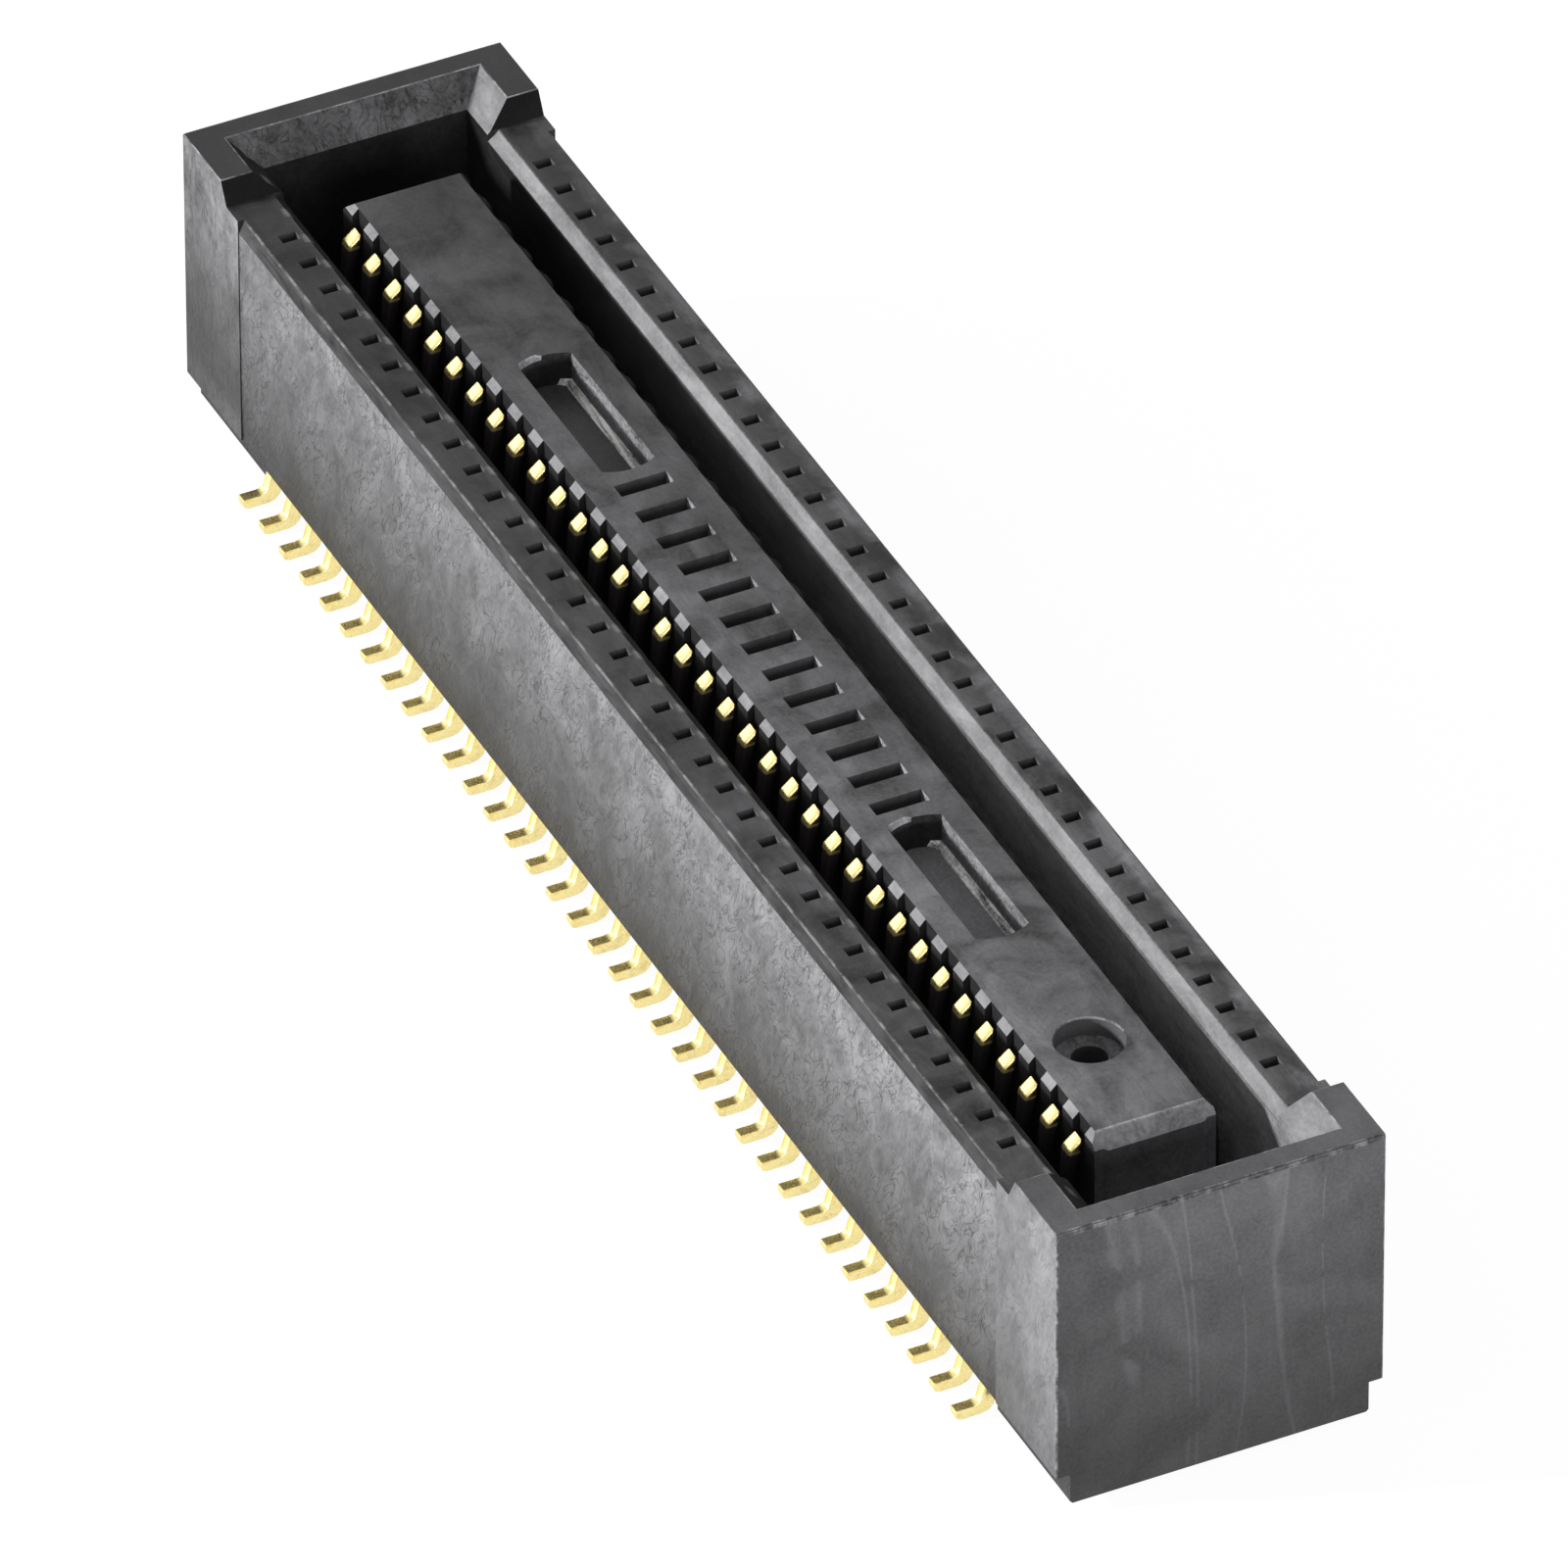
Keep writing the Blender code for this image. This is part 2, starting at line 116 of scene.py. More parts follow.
class Workpiece:
    """A mesh on the bench, which starts as a primitive and is shaped in edit mode."""

    def __init__(self, obj: bpy.types.Object) -> None:
        """Keep the object that is being shaped."""
        self.obj = obj

    @classmethod
    def block(cls, name: str, x: Span, y: Span, z: Span) -> Workpiece:
        """Add a cube at its size and place.

        Args:
            name: Name of the object and its mesh.
            x: Lowest and highest X.
            y: Lowest and highest Y.
            z: Lowest and highest Z.

        Returns:
            The new workpiece.
        """
        clear_selection()
        spans = (x, y, z)
        bpy.ops.mesh.primitive_cube_add(
            size=1.0,
            location=[(low + high) / 2 for low, high in spans],
            scale=[high - low for low, high in spans],
        )
        return cls._adopt(name)

    @classmethod
    def drum(cls, name: str, centre: Point2, radius: float, z: Span) -> Workpiece:
        """Add an upright cylinder.

        Args:
            name: Name of the object and its mesh.
            centre: X and Y of its axis.
            radius: Radius.
            z: Lowest and highest Z.

        Returns:
            The new workpiece.
        """
        clear_selection()
        bpy.ops.mesh.primitive_cylinder_add(
            vertices=DRUM_SIDES,
            radius=radius,
            depth=z[1] - z[0],
            location=(*centre, (z[0] + z[1]) / 2),
        )
        return cls._adopt(name)

    @classmethod
    def _adopt(cls, name: str) -> Workpiece:
        """Name the new primitive and put its place into its mesh."""
        obj = bpy.context.active_object
        obj.name = obj.data.name = name
        bpy.ops.object.transform_apply(location=True, rotation=True, scale=True)
        return cls(obj)

    def focus(self) -> None:
        """Make this the one selected object."""
        clear_selection()
        self.obj.select_set(True)
        bpy.context.view_layer.objects.active = self.obj

    @contextmanager
    def editing(self) -> Iterator[None]:
        """Hold the workpiece in edit mode."""
        self.focus()
        bpy.ops.object.mode_set(mode="EDIT")
        yield
        bpy.ops.object.mode_set(mode="OBJECT")

    def _open(self, kind: str) -> bmesh.types.BMesh:
        """Deselect all of the mesh in one selection mode and return its edit mesh."""
        bpy.ops.mesh.select_mode(type=kind)
        bpy.ops.mesh.select_all(action="DESELECT")
        return bmesh.from_edit_mesh(self.obj.data)

    def pick_faces(self, test: FaceTest) -> None:
        """Select the faces whose centre and normal pass a test."""
        for face in self._open("FACE").faces:
            if test(face.calc_center_median(), face.normal):
                face.select_set(True)
        bmesh.update_edit_mesh(self.obj.data)

    def pick_points(self, test: PointTest) -> None:
        """Select the vertices whose place passes a test."""
        mesh = self._open("VERT")
        for vert in mesh.verts:
            if test(vert.co):
                vert.select_set(True)
        mesh.select_flush_mode()
        bmesh.update_edit_mesh(self.obj.data)

    def pick_edges(self, test: PointTest) -> int:
        """Select the sharp edges with both ends in a place, and return their number."""
        count = 0
        for edge in self._open("EDGE").edges:
            if all(test(v.co) for v in edge.verts) and edge.calc_face_angle(0.0) > SHARP_EDGE:
                edge.select_set(True)
                count += 1
        bmesh.update_edit_mesh(self.obj.data)
        return count

    def slice(self, axis: Axis, level: float) -> None:
        """Bisect the whole mesh with a plane across an axis and keep both sides."""
        normal = Vector([float(item is axis) for item in Axis])
        with self.editing():
            bpy.ops.mesh.select_all(action="SELECT")
            bpy.ops.mesh.bisect(plane_co=normal * level, plane_no=normal, threshold=WELD)

    def move_points(self, test: PointTest, by: tuple) -> None:
        """Move the vertices that pass a test."""
        with self.editing():
            self.pick_points(test)
            bpy.ops.transform.translate(value=by)

    def scale_points(self, test: PointTest, factors: tuple, centre: tuple) -> None:
        """Scale the vertices that pass a test about a centre."""
        with self.editing():
            self.pick_points(test)
            bpy.ops.transform.resize(value=factors, center_override=centre)

    def extrude_faces(self, test: FaceTest, by: tuple) -> None:
        """Extrude the faces that pass a test."""
        with self.editing():
            self.pick_faces(test)
            bpy.ops.mesh.extrude_region_move(TRANSFORM_OT_translate={"value": by})

    def soften(self, test: PointTest, width: float, steps: int, slot: int = -1) -> int:
        """Round the sharp edges in a place.

        Args:
            test: Test that both ends of an edge have to pass.
            width: Width of the rounding along each face.
            steps: Segments of the rounding.
            slot: Material slot of the new faces, or -1 for their neighbours' one.

        Returns:
            The number of edges that were rounded.
        """
        with self.editing():
            count = self.pick_edges(test)
            if count:
                bpy.ops.mesh.bevel(
                    offset=width,
                    segments=steps,
                    affect="EDGES",
                    clamp_overlap=False,
                    material=slot,
                )
        return count

    def combine(self, tool: Workpiece, how: Join) -> None:
        """Join a helper solid to the workpiece, or cut with it, and remove the helper."""
        self.focus()
        modifier = self.obj.modifiers.new(how.name, "BOOLEAN")
        modifier.operation = how.value
        modifier.solver = "EXACT"
        modifier.object = tool.obj
        bpy.ops.object.modifier_apply(modifier=modifier.name)
        bpy.data.objects.remove(tool.obj, do_unlink=True)

    def twin(self, name: str, place: Matrix) -> Workpiece:
        """Return a copy with its own mesh, set at another place."""
        obj = self.obj.copy()
        obj.data = self.obj.data.copy()
        obj.name = obj.data.name = name
        obj.data.transform(place)
        bpy.context.scene.collection.objects.link(obj)
        return Workpiece(obj)

    def repeated(self, places: Iterable[Matrix]) -> Workpiece:
        """Return one workpiece of copies at these places, and remove the first."""
        copies = [self.twin(self.obj.name, place) for place in places]
        bpy.data.objects.remove(self.obj, do_unlink=True)
        clear_selection()
        for copy in copies:
            copy.obj.select_set(True)
        bpy.context.view_layer.objects.active = copies[0].obj
        bpy.ops.object.join()
        return copies[0]

    def reserve_slots(self, count: int) -> None:
        """Add empty material slots, so that new faces can be given one of them."""
        while len(self.obj.data.materials) < count:
            self.obj.data.materials.append(None)

    def finish_mesh(self, keep_sharp: PointTest | None = None) -> None:
        """Weld, turn the faces outwards and smooth the shallow edges.

        Args:
            keep_sharp: Place of shallow edges that stay crisp.
        """
        with self.editing():
            bpy.ops.mesh.select_all(action="SELECT")
            bpy.ops.mesh.remove_doubles(threshold=WELD)
            bpy.ops.mesh.normals_make_consistent(inside=False)
        self.focus()
        bpy.ops.object.shade_smooth_by_angle(angle=SMOOTH_BELOW)
        if keep_sharp is not None:
            with self.editing():
                self.pick_edges(keep_sharp)
                bpy.ops.mesh.mark_sharp()
            self.focus()
        modifier = self.obj.modifiers.new("even_normals", "WEIGHTED_NORMAL")
        modifier.keep_sharp = True
        bpy.ops.object.modifier_apply(modifier=modifier.name)

    def paint(self, finishes: list[Material],
              choose: Callable[[Vector, Vector], int]) -> None:
        """Give each face one of several materials by its place and direction."""
        mesh = self.obj.data
        mesh.materials.clear()
        for finish in finishes:
            mesh.materials.append(finish)
        for polygon in mesh.polygons:
            polygon.material_index = choose(polygon.center, polygon.normal)

    def mount(self, slot: str, *nodes: str) -> None:
        """Let the piece ride on the part and stand for nodes of the frame."""
        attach(self.obj, BODY)
        if nodes:
            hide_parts(*nodes)


# Layout


@dataclass(frozen=True)
class Layout:
    """Places that the housing and the contacts share."""

    pitch: float = 0.80 * MM
    positions: int = 35
    underside: float = 0.76 * MM
    floor_top: float = 1.55 * MM
    wall_top: float = 5.37 * MM
    tower_top: float = 5.79 * MM
    post_centre: float = 2.37 * MM
    tongue_half: float = 0.98 * MM

    @property
    def row_half(self) -> float:
        """Distance of the outer contacts of a row from its middle."""
        return (self.positions - 1) * self.pitch / 2

    def contact_places(self) -> list[float]:
        """Return the Y of every contact of a row."""
        return [index * self.pitch - self.row_half for index in range(self.positions)]

    def rib_places(self) -> list[float]:
        """Return the Y of every rib of the tongue."""
        return [(index - 0.5) * self.pitch - self.row_half for index in range(self.positions + 1)]


class Row(Enum):
    """The two rows of contacts, with the turn that brings the +X blank to each."""

    LEFT = math.pi
    RIGHT = 0.0

    def place(self, y: float) -> Matrix:
        """Return the place of the contact at a Y in this row."""
        return Matrix.Translation((0.0, y, 0.0)) @ Matrix.Rotation(self.value, 4, "Z")


# Node groups


class Graph:
    """A short way to lay nodes into one node tree."""

    def __init__(self, tree: NodeTree) -> None:
        """Keep the tree."""
        self.tree = tree

    def put(self, kind: str, inputs: dict[str | int, object] | None = None,
            **settings: object) -> bpy.types.Node:
        """Add a node, set its properties and feed its inputs.

        Args:
            kind: Type of the node.
            inputs: Names or numbers of inputs, with a value or a linked output for each.
            settings: Properties of the node.

        Returns:
            The new node.
        """
        node = self.tree.nodes.new(kind)
        for name, value in settings.items():
            setattr(node, name, value)
        for name, value in (inputs or {}).items():
            self.feed(node.inputs[name], value)
        return node

    def feed(self, socket: Socket, value: object) -> None:
        """Link an output to an input, or set the input's own value."""
        if isinstance(value, Socket):
            self.tree.links.new(value, socket)
        else:
            socket.default_value = value

    def math(self, operation: str, *values: object, clamp: bool = False) -> Socket:
        """Add a Math node."""
        settings = {"operation": operation, "use_clamp": clamp}
        return self.put("ShaderNodeMath", dict(enumerate(values)), **settings).outputs[0]

    def add_up(self, start: object, *terms: tuple[object, float]) -> Socket:
        """Add weighted values to a start."""
        for value, weight in terms:
            start = self.math("MULTIPLY_ADD", value, weight, start)
        return start

    def noise(self, vector: object, scale: object, detail: float, rough: float,
              distortion: float = 0.0) -> Socket:
        """Add a Noise Texture and return its value."""
        return self.put("ShaderNodeTexNoise", {
            "Vector": vector, "Scale": scale, "Detail": detail, "Roughness": rough,
            "Distortion": distortion}).outputs["Fac"]

    def remap(self, value: object, low: object, high: object, to_low: float = 0.0,
              to_high: float = 1.0) -> Socket:
        """Add a clamped Map Range."""
        return self.put("ShaderNodeMapRange", {
            "Value": value, "From Min": low, "From Max": high, "To Min": to_low,
            "To Max": to_high}, clamp=True).outputs["Result"]

    def mapped(self, vector: object, scale: tuple, turn: tuple = (0.0, 0.0, 0.0)) -> Socket:
        """Turn and stretch coordinates with a Mapping node."""
        return self.put("ShaderNodeMapping", {
            "Vector": vector, "Rotation": turn, "Scale": scale},
            vector_type="TEXTURE").outputs["Vector"]

    def mix(self, factor: object, first: object, second: object) -> Socket:
        """Add a colour Mix."""
        return self.put("ShaderNodeMix", {"Factor": factor, 6: first, 7: second},
                        data_type="RGBA").outputs[2]

    def bump(self, height: object, distance: float) -> Socket:
        """Add a Bump of full strength."""
        return self.put("ShaderNodeBump", {
            "Strength": 1.0, "Distance": distance, "Height": height}).outputs["Normal"]

    def axes(self, place: object) -> Sockets:
        """Return a place's three coordinates."""
        return self.put("ShaderNodeSeparateXYZ", {0: place}).outputs

    def group(self, tree: NodeTree, **values: object) -> bpy.types.Node:
        """Place a node group with its own values."""
        inputs = {name.replace("_", " ").title(): value for name, value in values.items()}
        return self.put("ShaderNodeGroup", inputs, node_tree=tree)


def new_group(name: str, inputs: dict[str, float | None],
              outputs: list[str]) -> tuple[Graph, Sockets, Sockets]:
    """Start a shader node group.

    Args:
        name: Name of the group.
        inputs: Each input's name with its default, which is None for a vector.
        outputs: Names of the value outputs.

    Returns:
        The graph, the group's input sockets and its output sockets.
    """
    tree = bpy.data.node_groups.new(name, "ShaderNodeTree")
    for label, default in inputs.items():
        kind = "NodeSocketVector" if default is None else "NodeSocketFloat"
        socket = tree.interface.new_socket(name=label, in_out="INPUT", socket_type=kind)
        if default is not None:
            socket.default_value = default
    for label in outputs:
        tree.interface.new_socket(name=label, in_out="OUTPUT", socket_type="NodeSocketFloat")
    graph = Graph(tree)
    return graph, graph.put("NodeGroupInput").outputs, graph.put("NodeGroupOutput").inputs


def new_material(name: str) -> tuple[Material, Graph, Sockets]:
    """Start a material.

    Args:
        name: Name of the material.

    Returns:
        The material, its graph and the inputs of its Principled shader.
    """
    material = bpy.data.materials.new(name)
    material.use_nodes = True
    shader = material.node_tree.nodes["Principled BSDF"]
    return material, Graph(material.node_tree), shader.inputs


class SharedEffects:
    """Node groups that several finishes use."""

    mark_range: Span = (0.35, 0.65)
    grain_range: Span = (0.30, 0.70)
    vein_fade: float = 0.04
    speck_rim: Span = (0.22, 0.10)
    wear_and_highlight_start: float = 0.75
    wear_and_highlight_fade: float = 0.12

    def __init__(self) -> None:
        """Build each group once."""
        self.flow = self._flow_marks()
        self.specks = self._specks()
        self.wear_and_highlight = self._wear_and_highlight()

    def _flow_marks(self) -> NodeTree:
        """Make the marks of plastic that flowed into a mould.

        Returns:
            A group that puts out streaks, blotches, fine grain and thin veins.
        """
        graph, given, out = new_group("mould_flow_marks", {
            "Vector": None,
            "Streaked": None,
            "Streak Scale": 1500.0,
            "Blotch Scale": 600.0,
            "Grain Scale": 9000.0,
            "Vein Scale": 1200.0,
            "Vein Width": 0.045,
            "Vein Limit": 0.0,
        }, ["Streak", "Blotch", "Grain", "Vein"])
        streak = graph.noise(given["Streaked"], given["Streak Scale"],
                             detail=4.0, rough=0.6, distortion=1.0)
        blotch = graph.noise(given["Vector"], given["Blotch Scale"],
                             detail=4.0, rough=0.55, distortion=0.6)
        grain = graph.noise(given["Vector"], given["Grain Scale"], detail=2.0, rough=0.6)
        vein = graph.noise(given["Streaked"], given["Vein Scale"],
                           detail=2.0, rough=0.45, distortion=1.6)
        off_centre = graph.math("ABSOLUTE", graph.math("SUBTRACT", vein, 0.5))
        band = graph.remap(off_centre, given["Vein Width"], 0.0)
        limit = given["Vein Limit"]
        cover = graph.remap(blotch, graph.math("SUBTRACT", limit, self.vein_fade), limit)
        graph.feed(out["Streak"], graph.remap(streak, *self.mark_range))
        graph.feed(out["Blotch"], graph.remap(blotch, *self.mark_range))
        graph.feed(out["Grain"], graph.remap(grain, *self.grain_range))
        graph.feed(out["Vein"], graph.math("MULTIPLY", band, cover))
        return graph.tree

    def _specks(self) -> NodeTree:
        """Make sparse specks of dust."""
        graph, given, out = new_group("dust_specks", {
            "Vector": None,
            "Scale": 4000.0,
            "Share": 0.1,
        }, ["Mask"])
        cells = graph.put("ShaderNodeTexVoronoi", {
            "Vector": given["Vector"], "Scale": given["Scale"]}, feature="F1").outputs
        near = graph.remap(cells["Distance"], *self.speck_rim)
        draw = graph.put("ShaderNodeSeparateColor", {0: cells["Color"]}).outputs[0]
        chosen = graph.math("LESS_THAN", draw, given["Share"])
        graph.feed(out["Mask"], graph.math("MULTIPLY", near, chosen))
        return graph.tree

    def _wear_and_highlight(self) -> NodeTree:
        """Make an uneven patch mask: worn patches on the gold, breaks in the painted edge highlights.
        """
        graph, given, out = new_group("uneven_wear_and_highlight", {
            "Vector": None,
            "Scale": 2500.0,
            "Amount": 0.5,
        }, ["Mask"])
        coarse = graph.noise(given["Vector"], given["Scale"], detail=6.0, rough=0.7)
        low = graph.add_up(self.wear_and_highlight_start, (given["Amount"], -0.5))
        high = graph.math("ADD", low, self.wear_and_highlight_fade)
        graph.feed(out["Mask"], graph.remap(coarse, low, high))
        return graph.tree


# Finishes


@dataclass(frozen=True)
class Fade:
    """A painted fall of light or shade along one axis, ragged at its edge. Places are in millimetres.
    """

    axis: Axis
    start: float
    end: float
    start_shade: float
    end_shade: float = 1.0
    ragged: float = 0.3
    folded: bool = False


@dataclass(frozen=True)
class MouldedPlastic:
    """The finish of one kind of face of the moulded housing.

    The tones are how strongly streaks, blotches, grain and veins change the shade. The veins have
    a scale, a width and the level of the blotches where they start. The shade and the fades are
    painted light and shade, the glints are painted reflections and the edge highlight tone is a
    painted highlight.
    """

    # painted light and shade: how brightly this kind of face is lit, as a factor on the colour
    shade: float = 1.0
    tones: tuple[float, float, float, float] = (0.10, 0.15, 0.10, 0.0)
    color: Color = (0.115, 0.115, 0.120, 1.0)
    roughness: float = 0.48
    gloss: float = 0.25
    streak_turn: tuple[float, float, float] = (0.0, 0.0, 0.0)
    streak_stretch: tuple[float, float, float] = (1.0, 4.0, 1.0)
    streak_scale: float = 3000.0
    blotch_scale: float = 900.0
    grain_scale: float = 14000.0
    veins: tuple[float, float, float] = (1200.0, 0.045, 0.0)
    speck_tone: float = 0.0
    speck_scale: float = 2600.0
    speck_share: float = 0.16
    # painted highlight along rounded edges, broken up by the uneven mask
    edge_highlight_tone: float = 0.0
    wear_and_highlight_scale: float = 2600.0
    wear_and_highlight_amount: float = 0.55
    # painted glints: reflections of the gold contact tips, at the contact pitch along the left wall's
    # inner rim
    glint_tone: float = 0.0
    glint_pitch: float = 0.0
    glint_start: Point2 = (-2.10 * MM, -0.14 * MM)
    glint_fade_x: Span = (0.12 * MM, 0.07 * MM)
    glint_fade_y: Span = (0.15 * MM, 0.08 * MM)
    glint_ragged: float = 0.05 * MM
    rough_drop: float = 0.08
    rough_by_streak: float = 0.10
    rough_by_grain: float = 0.06
    bump_height: float = 0.003 * MM
    bump_grain: float = 0.35
    bump_blotch: float = 0.50
    bump_vein: float = 1.50
    fades: tuple[Fade, ...] = ()

    def build(self, effects: SharedEffects, name: str) -> Material:
        """Make the material.

        Args:
            effects: The shared node groups.
            name: Name of the material.

        Returns:
            The material.
        """
        material, graph, shader = new_material(name)
        vein_scale, vein_width, vein_limit = self.veins
        shader["Specular IOR Level"].default_value = self.gloss
        place = graph.put("ShaderNodeTexCoord").outputs["Object"]
        marks = graph.group(
            effects.flow,
            vector=place,
            streaked=graph.mapped(place, self.streak_stretch, self.streak_turn),
            streak_scale=self.streak_scale,
            blotch_scale=self.blotch_scale,
            grain_scale=self.grain_scale,
            vein_scale=vein_scale,
            vein_width=vein_width,
            vein_limit=vein_limit,
        ).outputs
        *swings, vein_tone = self.tones
        tone = 1.0
        for mark, amount in zip(("Streak", "Blotch", "Grain"), swings):
            centred = graph.math("SUBTRACT", marks[mark], 0.5)
            tone = graph.math("MULTIPLY_ADD", centred, 2 * amount, tone)
        tone = graph.math("MULTIPLY_ADD", marks["Vein"], vein_tone, tone)
        tone = graph.math("MULTIPLY", tone, self.shade)
        axes = graph.axes(place)
        for fade in self.fades:
            tone = self._faded(graph, tone, fade, axes[fade.axis.value], marks["Blotch"])
        # painted highlight patches along rounded edges
        if self.edge_highlight_tone:
            wear_and_highlight_patches = graph.group(effects.wear_and_highlight, vector=place, scale=self.wear_and_highlight_scale,
                               amount=self.wear_and_highlight_amount)
            tone = graph.math("MULTIPLY_ADD", wear_and_highlight_patches.outputs["Mask"], self.edge_highlight_tone, tone)
        if self.speck_tone:
            dust = graph.group(effects.specks, vector=place, scale=self.speck_scale,
                               share=self.speck_share)
            tone = graph.math("MULTIPLY_ADD", dust.outputs["Mask"], self.speck_tone, tone)
        if self.glint_tone:
            glint = self._glint(graph, axes, marks["Grain"])
            tone = graph.math("MULTIPLY_ADD", glint, self.glint_tone, tone)
        scaled = graph.put("ShaderNodeVectorMath", {0: self.color[:3], "Scale": tone},
                           operation="SCALE")
        graph.feed(shader["Base Color"], scaled.outputs["Vector"])
        graph.feed(shader["Roughness"], graph.add_up(
            self.roughness - self.rough_drop, (marks["Streak"], self.rough_by_streak),
            (marks["Grain"], self.rough_by_grain)))
        height = graph.add_up(
            marks["Streak"], (marks["Grain"], self.bump_grain),
            (marks["Blotch"], self.bump_blotch), (marks["Vein"], self.bump_vein * vein_tone))
        graph.feed(shader["Normal"], graph.bump(height, self.bump_height))
        return material

    @staticmethod
    def _faded(graph: Graph, tone: object, fade: Fade, along: object, blotch: object) -> Socket:
        """Return the tone under one more painted fall of light or shade along a coordinate."""
        if fade.folded:
            along = graph.math("ABSOLUTE", along)
        centred = graph.math("SUBTRACT", blotch, 0.5)
        uneven = graph.math("MULTIPLY_ADD", centred, fade.ragged * MM, along)
        return graph.math("MULTIPLY", tone, graph.remap(
            uneven, fade.start * MM, fade.end * MM, fade.start_shade, fade.end_shade))

    def _glint(self, graph: Graph, axes: object, grain: object) -> Socket:
        """Return the mask of the painted glints of the gold tips that repeat along the left wall."""
        start_x, start_y = self.glint_start
        away = graph.math("PINGPONG", graph.math("SUBTRACT", axes["Y"], start_y),
                          self.glint_pitch / 2)
        glint = graph.remap(away, *self.glint_fade_y)
        off_rim = graph.math("ABSOLUTE", graph.math("SUBTRACT", axes["X"], start_x))
        off_rim = graph.math("MULTIPLY_ADD", grain, self.glint_ragged, off_rim)
        return graph.math("MULTIPLY", glint, graph.remap(off_rim, *self.glint_fade_x))


@dataclass(frozen=True)
class GoldPlating:
    """The finish of the plated contacts, with painted shade where they stand in the well."""

    name: str = "gold_plating"
    color: Color = (1.0, 0.86, 0.39, 1.0)
    deep_color: Color = (0.74, 0.58, 0.26, 1.0)
    roughness: float = 0.30
    rough_by_grain: float = 0.14
    gloss: float = 0.5
    bump_height: float = 0.0008 * MM
    streak_stretch: tuple[float, float, float] = (1.0, 4.0, 1.0)
    streak_scale: float = 9000.0
    blotch_scale: float = 3000.0
    grain_scale: float = 26000.0
    wear_and_highlight_scale: float = 6000.0
    wear_and_highlight_amount: float = 0.45
    dull_share: float = 0.5
    # painted shade: from the floor to just below the tips the contacts are dark and dull, as they
    # stand in the shade of the well; on the outer side the shade reaches a little higher
    shade_rise: Span = (1.20 * MM, 1.30 * MM)
    shade_fall: Span = (4.89 * MM, 4.81 * MM)
    shade_color: Color = (0.026, 0.022, 0.023, 1.0)
    shade_roughness: float = 0.60
    shade_gloss: float = 0.10
    hidden_x: Span = (1.20 * MM, 1.22 * MM)
    hidden_rise: float = 0.25 * MM

    def build(self, effects: SharedEffects) -> Material:
        """Make the material.

        Args:
            effects: The shared node groups.

        Returns:
            The material.
        """
        material, graph, shader = new_material(self.name)
        place = graph.put("ShaderNodeTexCoord").outputs["Object"]
        marks = graph.group(
            effects.flow,
            vector=place,
            streaked=graph.mapped(place, self.streak_stretch),
            streak_scale=self.streak_scale,
            blotch_scale=self.blotch_scale,
            grain_scale=self.grain_scale,
        ).outputs
        wear_and_highlight_patches = graph.group(effects.wear_and_highlight, vector=place, scale=self.wear_and_highlight_scale,
                           amount=self.wear_and_highlight_amount)
        dull = graph.add_up(0.0, (wear_and_highlight_patches.outputs["Mask"], self.dull_share),
                            (marks["Grain"], self.dull_share))
        plated = graph.mix(dull, self.color, self.deep_color)
        axes = graph.axes(place)
        # painted shade mask: a dark, non-metal colour that stands for the well's shade
        rise = graph.remap(axes["Z"], *self.shade_rise)
        outward = graph.remap(axes["X"], *self.hidden_x)
        height = graph.math("MULTIPLY_ADD", outward, -self.hidden_rise, axes["Z"])
        painted_shade = graph.math("MULTIPLY", rise, graph.remap(height, *self.shade_fall))
        graph.feed(shader["Base Color"], graph.mix(painted_shade, plated, self.shade_color))
        graph.feed(shader["Metallic"], graph.math("SUBTRACT", 1.0, painted_shade))
        graph.feed(shader["Specular IOR Level"], graph.math(
            "MULTIPLY_ADD", painted_shade, self.shade_gloss - self.gloss, self.gloss))
        graph.feed(shader["Roughness"], graph.add_up(
            self.roughness - self.rough_by_grain / 2, (marks["Grain"], self.rough_by_grain),
            (painted_shade, self.shade_roughness - self.roughness)))
        graph.feed(shader["Normal"], graph.bump(marks["Grain"], self.bump_height))
        return material


class Turn(float, Enum):
    """Limits for one coordinate of a face's normal, by what they tell about the face."""

    LEVEL = 0.95
    SQUARE = 0.9
    CORNER = 0.7
    SLANTED = 0.6
    HALF = 0.5
    SLOPED = 0.3
    FLANK = 0.2


class Face(Enum):
    """Kinds of faces of the housing, in the order of its material slots. Each kind is a lit or shaded
    copy of one black plastic, so the kinds paint light and shade by a face's place and direction.
    """

    SIDE = 0
    NEAR_BLOCK = 1
    FAR_BLOCK = 2
    TOP = 3
    TOWER = 4
    TONGUE = 5
    END = 6
    CHAMFER = 7
    SHADED_CHAMFER = 8
    MOUTH = 9
    BROW = 10
    NOSE = 11
    TONGUE_END = 12
    FLANK = 13
    WELL = 14
    INNER_WALL = 15
    NOTCH = 16
    POCKET = 17
    GATE = 18
    RECESS = 19
    ARC = 20
    FOOT = 21
    CHANNEL = 22
    EDGE = 23
    RIM = 24
    RIDGE = 25
    LIP = 26


# Housing


